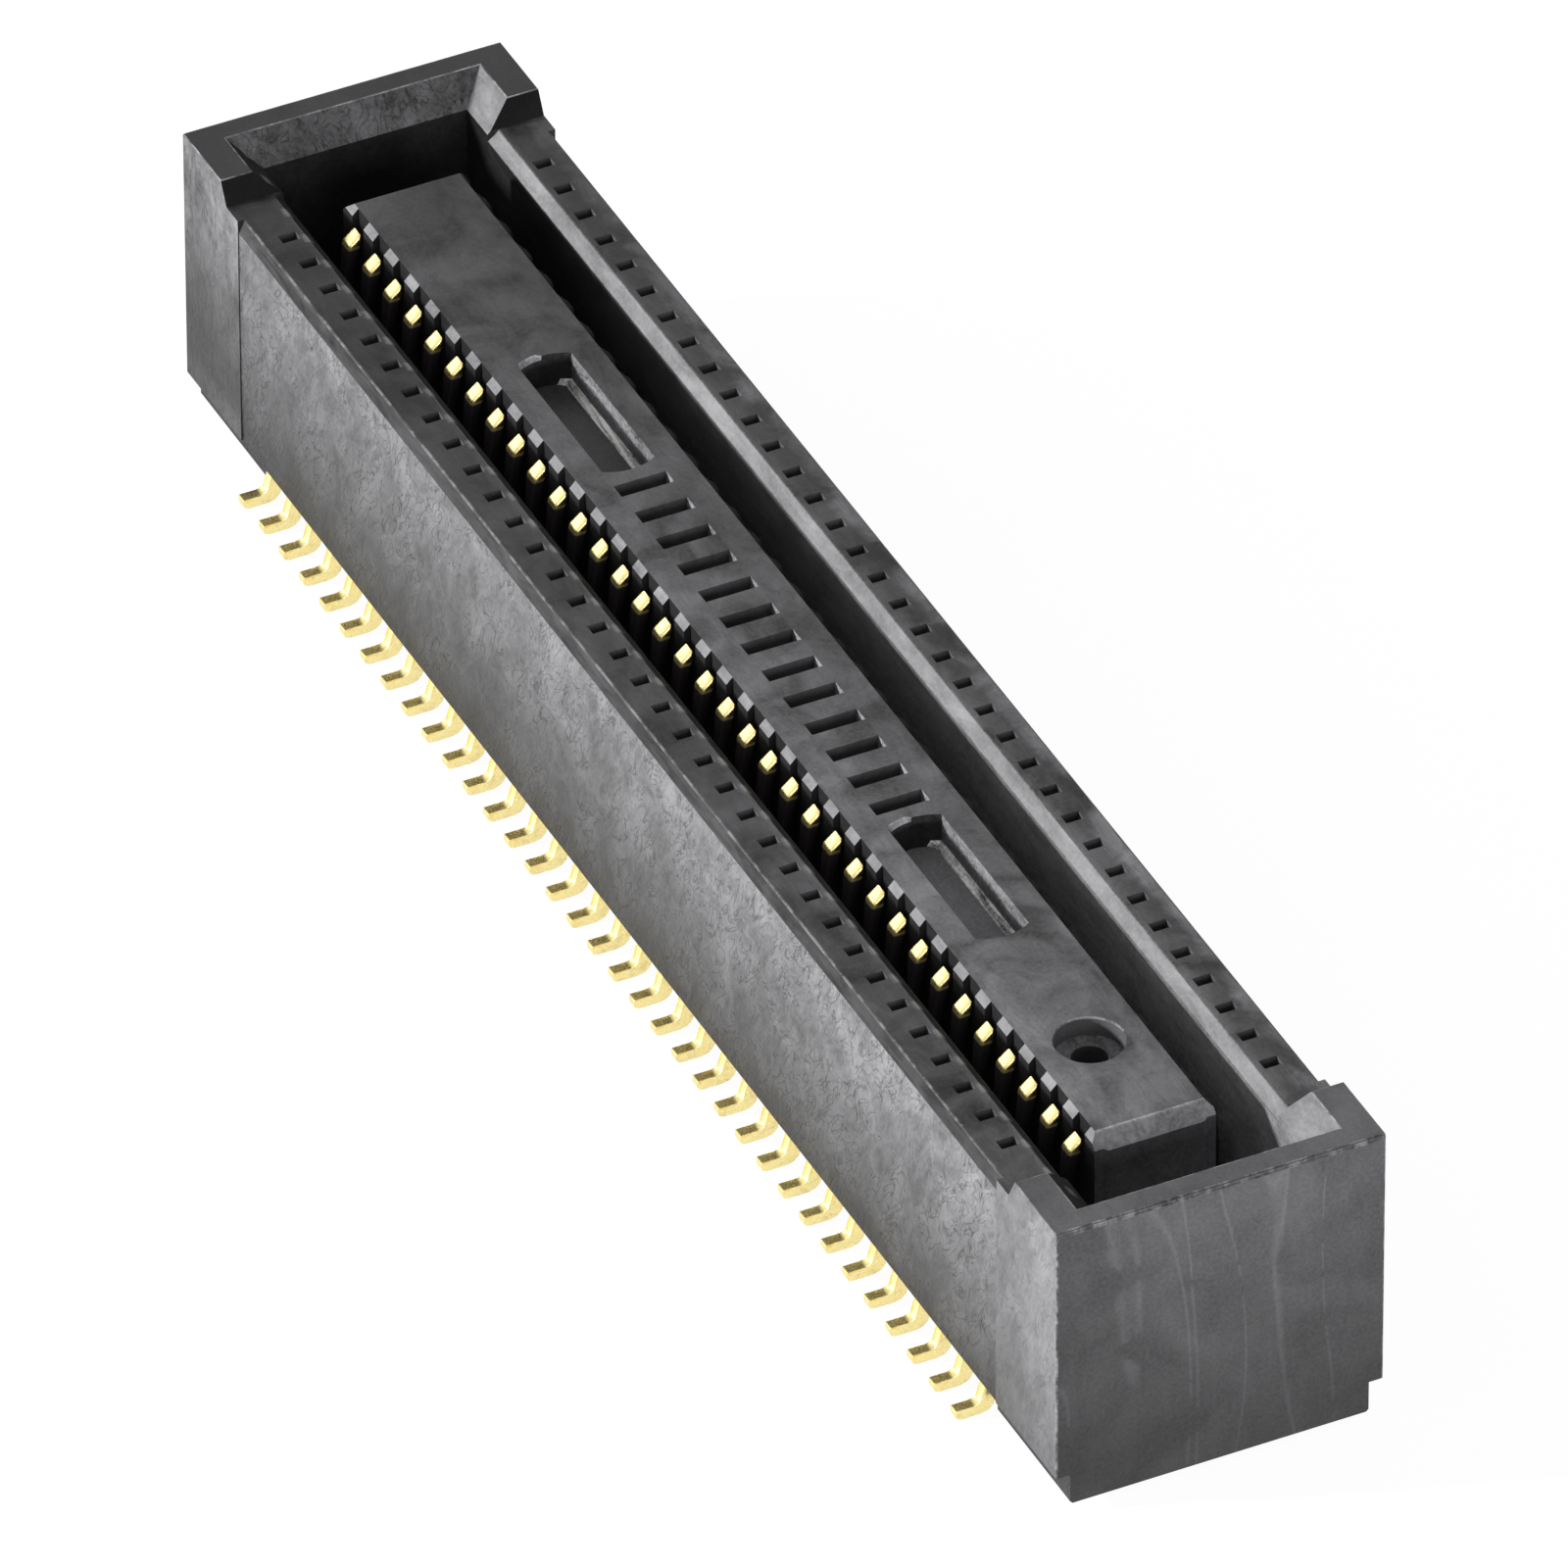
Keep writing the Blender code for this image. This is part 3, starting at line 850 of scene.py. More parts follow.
@dataclass
class Housing:
    """The moulding: trough, end blocks, feet and the notched tongue in the well."""

    layout: Layout
    side: float = 2.94 * MM
    block_side: float = 2.96 * MM
    foot_side: float = 2.70 * MM
    standoff: float = 0.16 * MM
    foot_overlap: float = 0.30 * MM
    foot_edge: float = 0.045 * MM
    block_start: float = 14.38 * MM
    ramp_foot: float = 14.82 * MM
    lobe_start: float = 15.04 * MM
    end: float = 16.57 * MM
    foot_start: float = 13.93 * MM
    flank: float = 0.095 * MM
    flank_height: float = 0.25 * MM
    tower_edge: float = 0.05 * MM
    well_side: float = 1.90 * MM
    well_end: float = 15.62 * MM
    wall_chamfer: float = 0.20 * MM
    mouth_chamfer: float = 0.48 * MM
    overcut: float = 0.30 * MM
    rib_face: float = 1.095 * MM
    rib_length: float = 0.365 * MM
    rib_root: float = 0.08 * MM
    rib_chamfer: float = 0.12 * MM
    tongue_end: float = 14.22 * MM
    tongue_corner: float = 0.15 * MM
    tongue_end_chamfer: float = 0.25 * MM
    slot_count: int = 13
    slot_size: Point2 = (0.97 * MM, 0.32 * MM)
    slot_depth: float = 2.40 * MM
    window_centre: float = 7.00 * MM
    window_length: float = 3.20 * MM
    window_depth: float = 0.65 * MM
    window_arc: float = 0.14 * MM
    window_foot: float = 0.11 * MM
    window_steps: int = 12
    gate_y: float = -11.80 * MM
    gate_radius: float = 0.60 * MM
    gate_depth: float = 0.36 * MM
    bore_radius: float = 0.31 * MM
    bore_depth: float = 1.00 * MM
    beam_slot: Span = (0.865 * MM, 1.38 * MM)
    leg_out: float = 2.82 * MM
    cavity_half: float = 0.115 * MM
    pocket_half: float = 0.1625 * MM
    cavity_roof: float = 1.17 * MM
    edge_width: float = 0.016 * MM
    rim_width: float = 0.028 * MM
    lip_width: float = 0.08 * MM
    corner_width: float = 0.035 * MM
    end_band: float = 0.10 * MM
    chamfer_band: float = 0.40 * MM
    piece: Workpiece = field(init=False)

    def build(self) -> None:
        """Model the whole moulding as one mesh."""
        shell = self._outer_form()
        shell.combine(self._well(), Join.CUT)
        shell.combine(self._wall_chamfers(), Join.CUT)
        shell.combine(self._cavities(), Join.CUT)
        shell.combine(self._tongue(), Join.ADD)
        self.piece = shell
        self._soften_edges()
        shoulder = self.layout.wall_top - self.flank_height
        shell.finish_mesh(keep_sharp=lambda co: close(co.z, shoulder) and close(abs(co.x), self.side))

    def _outer_form(self) -> Workpiece:
        """Model the trough with its end blocks and feet, still solid."""
        lay = self.layout
        trough = Workpiece.block("moulded_housing", both(self.side),
                                 (-self.block_start - self.overcut, self.block_start + self.overcut),
                                 (lay.underside, lay.wall_top))
        shoulder = lay.wall_top - self.flank_height
        trough.slice(Axis.Z, shoulder)
        trough.scale_points(at(z=lay.wall_top), (1 - self.flank / self.side, 1.0, 1.0),
                            (0.0, 0.0, lay.wall_top))
        trough.reserve_slots(len(Face))
        trough.soften(at(z=lay.wall_top), self.rim_width, 2, Face.RIDGE.value)

        block = Workpiece.block("end_block", both(self.block_side),
                                (self.block_start, self.end), (lay.underside, lay.tower_top))
        block.slice(Axis.Y, self.ramp_foot)
        block.slice(Axis.Y, self.lobe_start)
        block.move_points(lambda co: close(co.z, lay.tower_top) and co.y < self.ramp_foot + TOLERANCE,
                          (0.0, 0.0, lay.wall_top - lay.tower_top))
        block.soften(at(y=self.end, z=lay.tower_top), self.tower_edge, 1)

        foot = Workpiece.block("end_foot", both(self.foot_side), (self.foot_start, self.end),
                               (self.standoff, lay.underside + self.foot_overlap))
        for side in (-1, 1):
            foot.soften(at(x=side * self.foot_side, z=self.standoff), self.foot_edge, 1)
        trough.combine(block.repeated(BOTH_ENDS), Join.ADD)
        trough.combine(foot.repeated(BOTH_ENDS), Join.ADD)
        return trough

    def _well(self) -> Workpiece:
        """Model the space of the well, which opens out at its mouth."""
        lay = self.layout
        mouth = lay.tower_top - self.mouth_chamfer
        top = lay.tower_top + self.overcut
        well = Workpiece.block("well", both(self.well_side), both(self.well_end),
                               (lay.floor_top, top))
        well.slice(Axis.Z, mouth)
        flare = top - mouth
        factors = (1 + flare / self.well_side, 1 + flare / self.well_end, 1.0)
        well.scale_points(at(z=top), factors, (0.0, 0.0, top))
        return well

    def _wall_chamfers(self) -> Workpiece:
        """Model the wedge that breaks the inner edges of the long walls."""
        lay = self.layout
        low, high = lay.wall_top - self.wall_chamfer, lay.wall_top + self.overcut
        wedge = Workpiece.block("wall_chamfers", both(self.well_side), both(self.ramp_foot),
                                (low, high))
        factors = (1 + (high - low) / self.well_side, 1.0, 1.0)
        wedge.scale_points(at(z=high), factors, (0.0, 0.0, high))
        return wedge

    def _cavities(self) -> Workpiece:
        """Model the cavities of all contacts: base, post pocket and beam slot."""
        lay = self.layout
        beam_in, beam_out = self.beam_slot
        cavity = Workpiece.block("contact_cavity", (beam_in, self.leg_out), both(self.cavity_half),
                                 (lay.underside - self.overcut, self.cavity_roof))
        post_in, post_out = lay.post_centre - self.pocket_half, lay.post_centre + self.pocket_half
        for x in (beam_out, post_in, post_out):
            cavity.slice(Axis.X, x)
        cavity.extrude_faces(lambda co, n: n.z > Turn.SQUARE and post_in < co.x < post_out,
                             (0.0, 0.0, lay.wall_top + self.overcut - self.cavity_roof))
        cavity.extrude_faces(lambda co, n: n.z > Turn.SQUARE and co.x < beam_out,
                             (0.0, 0.0, lay.floor_top + self.overcut - self.cavity_roof))
        return cavity.repeated(row.place(y) for row in Row for y in lay.contact_places())

    def _tongue(self) -> Workpiece:
        """Model the tongue with its ribs, end chamfers and the recesses in its top."""
        lay = self.layout
        tongue = Workpiece.block("tongue", both(lay.tongue_half), both(self.tongue_end),
                                 (lay.underside, lay.wall_top))
        tongue.combine(self._corner_cutters(), Join.CUT)
        tongue.combine(self._ribs(), Join.ADD)
        tongue.combine(self._end_wedges(), Join.CUT)
        tongue.combine(self._slots(), Join.CUT)
        for centre in both(self.window_centre):
            tongue.combine(self._window(centre), Join.CUT)
        tongue.combine(self._gate(), Join.CUT)
        return tongue

    def _corner_cutters(self) -> Workpiece:
        """Model the four posts with a hollow corner that round the tongue's upright edges."""
        lay = self.layout
        reach = self.overcut
        z = (lay.underside - reach, lay.wall_top + reach)
        corner_x, corner_y = lay.tongue_half - self.tongue_corner, self.tongue_end - self.tongue_corner
        cutter = Workpiece.block("tongue_corner", (corner_x, lay.tongue_half + reach),
                                 (corner_y, self.tongue_end + reach), z)
        cutter.combine(Workpiece.drum("corner_round", (corner_x, corner_y), self.tongue_corner,
                                      (z[0] - reach, z[1] + reach)), Join.CUT)
        far = cutter.twin("tongue_corner_left", Matrix.Scale(-1, 4, (1.0, 0.0, 0.0)))
        with far.editing():
            bpy.ops.mesh.select_all(action="SELECT")
            bpy.ops.mesh.flip_normals()
        cutter.combine(far, Join.ADD)
        return cutter.repeated(BOTH_ENDS)

    def _ribs(self) -> Workpiece:
        """Model the ribs that part the contacts on both sides of the tongue."""
        lay = self.layout
        rib = Workpiece.block("rib", (lay.tongue_half - self.rib_root, self.rib_face),
                              both(self.rib_length / 2), (lay.underside, lay.wall_top))
        rib.slice(Axis.X, lay.tongue_half)
        rib.move_points(at(x=self.rib_face, z=lay.wall_top), (0.0, 0.0, -self.rib_chamfer))
        return rib.repeated(row.place(y) for row in Row for y in lay.rib_places())

    def _end_wedges(self) -> Workpiece:
        """Model the wedges that slope the top of the tongue off at both ends."""
        clear = self.overcut
        low = self.layout.wall_top + clear
        near, far = self.tongue_end - self.tongue_end_chamfer - clear, self.tongue_end + clear
        reach = self.rib_face + clear
        wedge = Workpiece.block("end_wedge", both(reach), (near, far), (low, low + clear))
        wedge.move_points(at(y=far, z=low), (0.0, 0.0, near - far))
        return wedge.repeated(BOTH_ENDS)

    def _slots(self) -> Workpiece:
        """Model the row of narrow slots across the tongue."""
        lay = self.layout
        half_x, half_y = self.slot_size[0] / 2, self.slot_size[1] / 2
        slot = Workpiece.block("slot", both(half_x), both(half_y),
                               (lay.wall_top - self.slot_depth, lay.wall_top + self.overcut))
        middle = (self.slot_count - 1) / 2
        return slot.repeated(Matrix.Translation((0.0, (index - middle) * lay.pitch, 0.0))
                             for index in range(self.slot_count))

    def _window(self, centre: float) -> Workpiece:
        """Model one long recess with bowed ends and a broken foot."""
        lay = self.layout
        half = self.slot_size[0] / 2
        reach = self.window_length / 2
        floor = lay.wall_top - self.window_depth
        window = Workpiece.block("window", both(half), (centre - reach, centre + reach),
                                 (floor, lay.wall_top + self.overcut))
        steps = self.window_steps
        columns = [half * (2 * index / steps - 1) for index in range(1, steps)]
        for x in columns:
            window.slice(Axis.X, x)
        radius = (half ** 2 + self.window_arc ** 2) / (2 * self.window_arc)
        for x in columns:
            bow = math.sqrt(radius ** 2 - x ** 2) - radius + self.window_arc
            for side in (-1, 1):
                window.move_points(at(x=x, y=centre + side * reach), (0.0, side * bow, 0.0))
        window.slice(Axis.Z, floor + self.window_foot)
        factors = (1 - self.window_foot / half, 1.0, 1.0)
        window.scale_points(at(z=floor), factors, (0.0, centre, floor))
        return window

    def _gate(self) -> Workpiece:
        """Model the round gate mark with the bore in its floor."""
        lay = self.layout
        floor = lay.wall_top - self.gate_depth
        gate = Workpiece.drum("gate", (0.0, self.gate_y), self.gate_radius,
                              (floor, lay.wall_top + self.overcut))
        with gate.editing():
            gate.pick_faces(lambda co, n: n.z < -Turn.SQUARE)
            bpy.ops.mesh.inset(thickness=self.gate_radius - self.bore_radius)
            bpy.ops.mesh.extrude_region_move(
                TRANSFORM_OT_translate={"value": (0.0, 0.0, self.gate_depth - self.bore_depth)})
        return gate

    def _soften_edges(self) -> None:
        """Round the edges that catch the light, each kind by its own width and with its painted
        highlight.
        """
        lay, piece = self.layout, self.piece

        def outer_corner(co: Vector) -> bool:
            return close(abs(co.x), self.block_side) and close(abs(co.y), self.end)

        def tower_rim(co: Vector) -> bool:
            at_top = co.z > lay.tower_top - self.tower_edge - TOLERANCE
            return at_top and abs(co.y) > self.lobe_start - TOLERANCE

        def chamfer_rim(co: Vector) -> bool:
            low = close(abs(co.x), self.well_side) and close(co.z, lay.wall_top - self.wall_chamfer)
            high = close(abs(co.x), self.well_side + self.wall_chamfer) and close(co.z, lay.wall_top)
            return low or high

        def tongue_rim(co: Vector) -> bool:
            on_top = abs(co.x) < lay.tongue_half + TOLERANCE and close(co.z, lay.wall_top)
            return on_top and close(co.y, self.tongue_end_chamfer - self.tongue_end)

        def gate_rim(co: Vector) -> bool:
            on_circle = close(math.hypot(co.x, co.y - self.gate_y), self.gate_radius)
            return on_circle and close(co.z, lay.wall_top) and co.y > self.gate_y - TOLERANCE

        def window_lip(co: Vector) -> bool:
            ends = [centre + self.window_length / 2 for centre in both(self.window_centre)]
            beyond = any(0.0 <= co.y - end + TOLERANCE < 2 * self.window_arc for end in ends)
            on_left = -self.slot_size[0] / 2 - TOLERANCE < co.x < 0.0
            return beyond and on_left and close(co.z, lay.wall_top)

        for name, test, width, steps, kind in (
            ("outer corners", outer_corner, self.corner_width, 3, Face.EDGE),
            ("tower rims", tower_rim, self.edge_width, 2, Face.EDGE),
            ("chamfer rims", chamfer_rim, self.edge_width, 2, Face.RIM),
            ("tongue rim", tongue_rim, self.rim_width, 2, Face.LIP),
            ("gate rim", gate_rim, self.rim_width, 2, Face.EDGE),
            ("window lips", window_lip, self.lip_width, 2, Face.LIP),
        ):
            count = piece.soften(test, width, steps, kind.value)
            LOG.info("softened %d edges of the %s", count, name)

    def _face_kind(self, centre: Vector, normal: Vector) -> Face:
        """Return the kind of a face, which sets the light and shade painted on it."""
        lay = self.layout
        x, y = abs(centre.x), abs(centre.y)
        half = self.slot_size[0] / 2 + TOLERANCE
        on_tongue = x < self.rib_face + TOLERANCE and y < self.tongue_end + TOLERANCE
        if normal.z > Turn.LEVEL and centre.z > lay.wall_top - TOLERANCE:
            if centre.z > lay.tower_top - TOLERANCE:
                return Face.TOWER
            return Face.TONGUE if on_tongue else Face.TOP
        on_flank = x > self.side - self.flank and y < self.block_start
        if on_flank and Turn.FLANK < normal.z < Turn.SLANTED:
            return Face.FLANK
        if abs(normal.x) > Turn.SQUARE and x > self.foot_side - TOLERANCE:
            if x < self.side + TOLERANCE:
                return Face.SIDE
            return Face.FAR_BLOCK if centre.y > 0 else Face.NEAR_BLOCK
        if abs(normal.y) > Turn.SQUARE and y > self.end - self.end_band:
            return Face.END
        if on_tongue and x < half and y < self.window_centre + self.window_length:
            return self._recess_kind(centre, normal)
        if Turn.SLOPED < normal.z < Turn.LEVEL and centre.z > lay.wall_top - self.chamfer_band:
            if on_tongue and abs(normal.y) > Turn.SLANTED:
                return Face.NOSE
            if y > self.end - 2 * self.tower_edge:
                return Face.BROW
            if normal.y < -Turn.SLANTED and y > self.well_end:
                return Face.MOUTH
            # chamfers that face the key lamp take the painted-light finish, the others the
            # painted-shade one
            return Face.CHAMFER if normal.x < -Turn.HALF else Face.SHADED_CHAMFER
        if on_tongue and y > self.tongue_end - self.tongue_corner and abs(normal.y) > Turn.CORNER:
            return Face.TONGUE_END
        if on_tongue and x > lay.tongue_half - TOLERANCE and abs(normal.z) < Turn.SLOPED:
            return Face.NOTCH if abs(normal.y) > Turn.HALF else Face.CHANNEL
        if on_tongue:
            return Face.GATE if normal.z > Turn.LEVEL else Face.POCKET
        if abs(x - lay.post_centre) < self.pocket_half + TOLERANCE and y < self.tongue_end:
            return Face.POCKET
        if normal.x < -Turn.SQUARE and close(x, self.well_side):
            return Face.INNER_WALL
        return Face.WELL

    def _recess_kind(self, centre: Vector, normal: Vector) -> Face:
        """Return the kind of a face inside the slots and windows of the tongue."""
        in_slot = abs(centre.y) < self.window_centre - self.window_length / 2 - 2 * self.window_arc
        if Turn.SLOPED < normal.z < Turn.LEVEL:
            return Face.FOOT
        if abs(normal.z) < Turn.SLOPED and normal.x < -Turn.SQUARE:
            return Face.RECESS
        if in_slot:
            return Face.POCKET
        return Face.ARC if normal.y < -Turn.CORNER else Face.WELL

    def _finishes(self) -> dict[Face, MouldedPlastic]:
        """Return the finish of each kind of face, with the light and shade painted on it."""
        lay = self.layout
        low, top = lay.underside / MM, lay.wall_top / MM
        # painted shade: the tops grow darker towards the far end
        far = Fade(Axis.Y, -6.0, 14.0, 1.0, 0.42, 3.0)
        # painted light: lifts the lower parts of the notches and the channel beside the tongue out of
        # black
        deep = Fade(Axis.Z, 3.0, 4.7, 4.0)
        return {
            # painted light and shade: the sides brightly lit by the key lamp, darker towards the
            # bottom and lighter towards the near end
            Face.SIDE: MouldedPlastic(
                1.25, (0.26, 0.30, 0.20, -0.60), roughness=0.42, gloss=0.22,
                streak_turn=(math.radians(35), 0.0, 0.0), streak_stretch=(1.0, 1.0, 2.2),
                streak_scale=3600.0, blotch_scale=800.0, veins=(3200.0, 0.035, 0.50),
                bump_height=0.008 * MM,
                fades=(Fade(Axis.Z, low, 4.9, 0.10), Fade(Axis.Z, low, 1.5, 0.80, 1.0, 1.0),
                       Fade(Axis.Y, -12.0, 4.0, 1.22, 0.94, 3.0),
                       Fade(Axis.Y, -14.4, -13.0, 1.14, 1.0, 1.2))),
            # painted light: the near block's side lit more brightly than the long sides, darker
            # towards the bottom
            Face.NEAR_BLOCK: MouldedPlastic(
                1.55, (0.18, 0.26, 0.16, -0.40), roughness=0.42,
                streak_turn=(math.radians(25), 0.0, 0.0), streak_stretch=(1.0, 1.0, 2.6),
                streak_scale=4200.0, blotch_scale=900.0, veins=(3200.0, 0.035, 0.53),
                bump_height=0.005 * MM,
                fades=(Fade(Axis.Z, low, 5.0, 0.50), Fade(Axis.Y, -16.2, -14.5, 1.04, 0.80, 0.8))),
            # painted light and shade: the far block's side darker from its top downwards, lighter
            # again at the foot and darker at the far corner
            Face.FAR_BLOCK: MouldedPlastic(
                1.18, (0.30, 0.45, 0.20, -0.5), roughness=0.42, streak_stretch=(1.0, 1.0, 2.0),
                streak_scale=4000.0, blotch_scale=700.0, veins=(3200.0, 0.035, 0.50),
                bump_height=0.006 * MM,
                fades=(Fade(Axis.Z, 2.1, 5.0, 0.20), Fade(Axis.Z, 4.1, 5.1, 0.85, 1.25, 0.2),
                       Fade(Axis.Y, 14.9, 15.8, 1.0, 0.70, 0.6),
                       Fade(Axis.Z, 1.0, 1.4, 2.1, 1.0, 0.3))),
            # painted light: the wall tops lighter at their inner edges and at the right wall's outer
            # edge, darker towards the far end, with painted glints of the contact tips along the left
            # rim
            Face.TOP: MouldedPlastic(
                0.48, (0.25, 0.65, 0.16, -0.25), veins=(3000.0, 0.045, 0.53), glint_tone=0.9,
                glint_pitch=lay.pitch,
                fades=(far, Fade(Axis.X, 2.10, 2.30, 1.5, 1.0, 0.2, True),
                       Fade(Axis.X, -2.0, -1.9, 0.71), Fade(Axis.X, 2.15, 2.50, 1.4, 1.05),
                       Fade(Axis.X, 2.58, 2.80, 1.0, 2.3, 0.3))),
            # painted light: the near tower top lit more brightly than the far one
            Face.TOWER: MouldedPlastic(
                0.92, (0.08, 0.20, 0.14, 0.0),
                fades=(Fade(Axis.Y, -15.0, 15.0, 1.0, 0.31),)),
            # painted light: the tongue top lighter on its left and darker towards the far end
            Face.TONGUE: MouldedPlastic(
                0.96, (0.15, 0.58, 0.16, -0.20), veins=(3000.0, 0.045, 0.54),
                fades=(far, Fade(Axis.X, -1.0, 0.6, 1.36, 0.92))),
            # painted light: the end faces lighter towards the top and to the right
            Face.END: MouldedPlastic(
                0.80, (0.08, 0.16, 0.20, 0.42), streak_stretch=(1.0, 1.0, 4.5),
                streak_scale=2400.0, blotch_scale=700.0, veins=(420.0, 0.024, 0.49),
                bump_height=0.004 * MM,
                fades=(Fade(Axis.Z, 0.8, 5.2, 0.74, 1.46), Fade(Axis.X, -2.9, -0.3, 0.78, 1.05))),
            # painted light: the chamfers that face the key lamp, lit brightly
            Face.CHAMFER: MouldedPlastic(1.70, (0.22, 0.15, 0.12, -0.12), speck_tone=-0.2),
            # painted shade: the chamfers that face away from the key lamp, with painted glints of the
            # contact tips
            Face.SHADED_CHAMFER: MouldedPlastic(
                0.15, roughness=0.7, gloss=0.05, glint_tone=1.2, glint_pitch=lay.pitch),
            Face.MOUTH: MouldedPlastic(
                0.97, (0.25, 0.42, 0.30, -0.6), veins=(2600.0, 0.045, 0.44), bump_height=0.008 * MM),
            # darker facet along the top edges of the tower ends, with sparse painted highlight specks
            Face.BROW: MouldedPlastic(
                0.42, (0.35, 0.4, 0.10, 0.0), streak_scale=5200.0, edge_highlight_tone=0.08),
            # painted light: the sloped ends of the tongue top, lit brightly at the near end and much
            # less at the far end
            Face.NOSE: MouldedPlastic(
                2.7, (0.2, 0.25, 0.25, 0.0), gloss=0.10,
                fades=(Fade(Axis.Y, -1.0, 1.0, 1.0, 0.35),)),
            # painted light: the tongue's end faces lifted towards the bottom, so that they read as
            # evenly lit
            Face.TONGUE_END: MouldedPlastic(
                0.55, (0.10, 0.2, 0.25, 0.0),
                fades=(Fade(Axis.Z, 3.4, 4.8, 3.4, 1.3),)),
            Face.FLANK: MouldedPlastic(
                0.22, (0.7, 0.5, 0.10, 0.0), roughness=0.6, gloss=0.2,
                streak_stretch=(1.0, 6.0, 1.0), streak_scale=6000.0),
            # painted light and shade: the well lighter at the near end, darker towards the far end and
            # near the middle
            Face.WELL: MouldedPlastic(
                tones=(0.10, 0.15, 0.2, 0.0),
                fades=(Fade(Axis.Y, -15.0, 15.0, 3.4, 0.18),
                       Fade(Axis.X, 0.6, 0.9, 0.70, 1.0, 0.0, True))),
            # painted shade: the right wall's inner face lighter at the near end and towards the
            # bottom, darker towards the far end and at its top, where the key lamp lights it
            Face.INNER_WALL: MouldedPlastic(
                tones=(0.2, 0.15, 0.2, 0.0),
                fades=(Fade(Axis.Y, -15.0, 12.0, 2.9, 0.10),
                       Fade(Axis.Y, -14.6, -13.2, 0.75, 1.0, 0.5), Fade(Axis.Z, 3.8, 4.8, 1.8, 0.8))),
            # painted shade: the notches and rib faces beside the tongue nearly black
            Face.NOTCH: MouldedPlastic(0.22, roughness=0.6, gloss=0.10, fades=(deep,)),
            Face.CHANNEL: MouldedPlastic(0.15, roughness=0.6, gloss=0.08, fades=(deep,)),
            # painted shade: the walls of the pockets, slots and gate kept dark
            Face.POCKET: MouldedPlastic(0.72, roughness=0.6, gloss=0.12),
            # painted light: the gate floor lit lighter
            Face.GATE: MouldedPlastic(1.75, (0.3, 0.15, 0.3, 0.0)),
            # painted light and shadow: the recess walls that face the key lamp, lit at the top with a
            # painted shadow lower down, lighter in the slots
            Face.RECESS: MouldedPlastic(
                1.45, (0.3, 0.15, 0.5, 0.0),
                fades=(Fade(Axis.Z, top - 0.40, top - 0.30, 0.55, 1.0, 0.1),
                       Fade(Axis.Y, 5.0, 5.3, 1.35, 1.0, 0.0, True))),
            # painted shade: the bowed ends of the windows dark below a thin lit top band
            Face.ARC: MouldedPlastic(
                0.30, (0.10, 0.15, 0.5, 0.0),
                fades=(Fade(Axis.Z, top - 0.20, top - 0.12, 0.25, 1.0, 0.1),)),
            # painted highlight: the rounded lips at the tongue's near end and the window ends
            Face.LIP: MouldedPlastic(3.0, (0.5, 0.15, 0.3, 0.0)),
            # painted highlight: a broken light line along the outer ridge of the long walls
            Face.RIDGE: MouldedPlastic(0.40, (0.5, 0.15, 0.10, 0.0), roughness=0.5, edge_highlight_tone=0.9),
            # painted highlight: a bright streak along the sloped foot of the windows
            Face.FOOT: MouldedPlastic(
                5.5, (0.7, 0.15, 0.35, 0.0), color=(0.116, 0.117, 0.113, 1.0),
                streak_stretch=(1.0, 8.0, 1.0), streak_scale=8000.0),
            # painted highlight: rounded edges shown as broken light lines, fainter at the near end
            Face.EDGE: MouldedPlastic(
                1.3, (0.5, 0.15, 0.10, 0.0), roughness=0.34, streak_scale=5200.0, edge_highlight_tone=1.8,
                fades=(Fade(Axis.Y, -16.2, -15.6, 0.6),)),
            # painted reflection: the rims of the wall chamfers tinted warm, with glints of the gold
            # contact tips
            Face.RIM: MouldedPlastic(
                0.8, (0.10, 0.15, 0.4, 0.0), color=(0.118, 0.116, 0.108, 1.0), glint_tone=2.2,
                glint_pitch=lay.pitch),
        }

    def dress(self, effects: SharedEffects) -> None:
        """Give the faces their finishes and put the piece on the part.

        Args:
            effects: The shared node groups.
        """
        polygons = self.piece.obj.data.polygons
        rounded = {polygon.index: polygon.material_index for polygon in polygons
                   if polygon.material_index >= Face.EDGE.value}
        finishes = self._finishes()
        materials = [finishes[kind].build(effects, f"plastic_{kind.name.lower()}") for kind in Face]
        self.piece.paint(materials, lambda *place: self._face_kind(*place).value)
        for index, kind in rounded.items():
            polygons[index].material_index = kind
        self.piece.mount("housing", "housing")
        LOG.info("%s: %d faces", self.piece.obj.name, len(polygons))


# Contacts


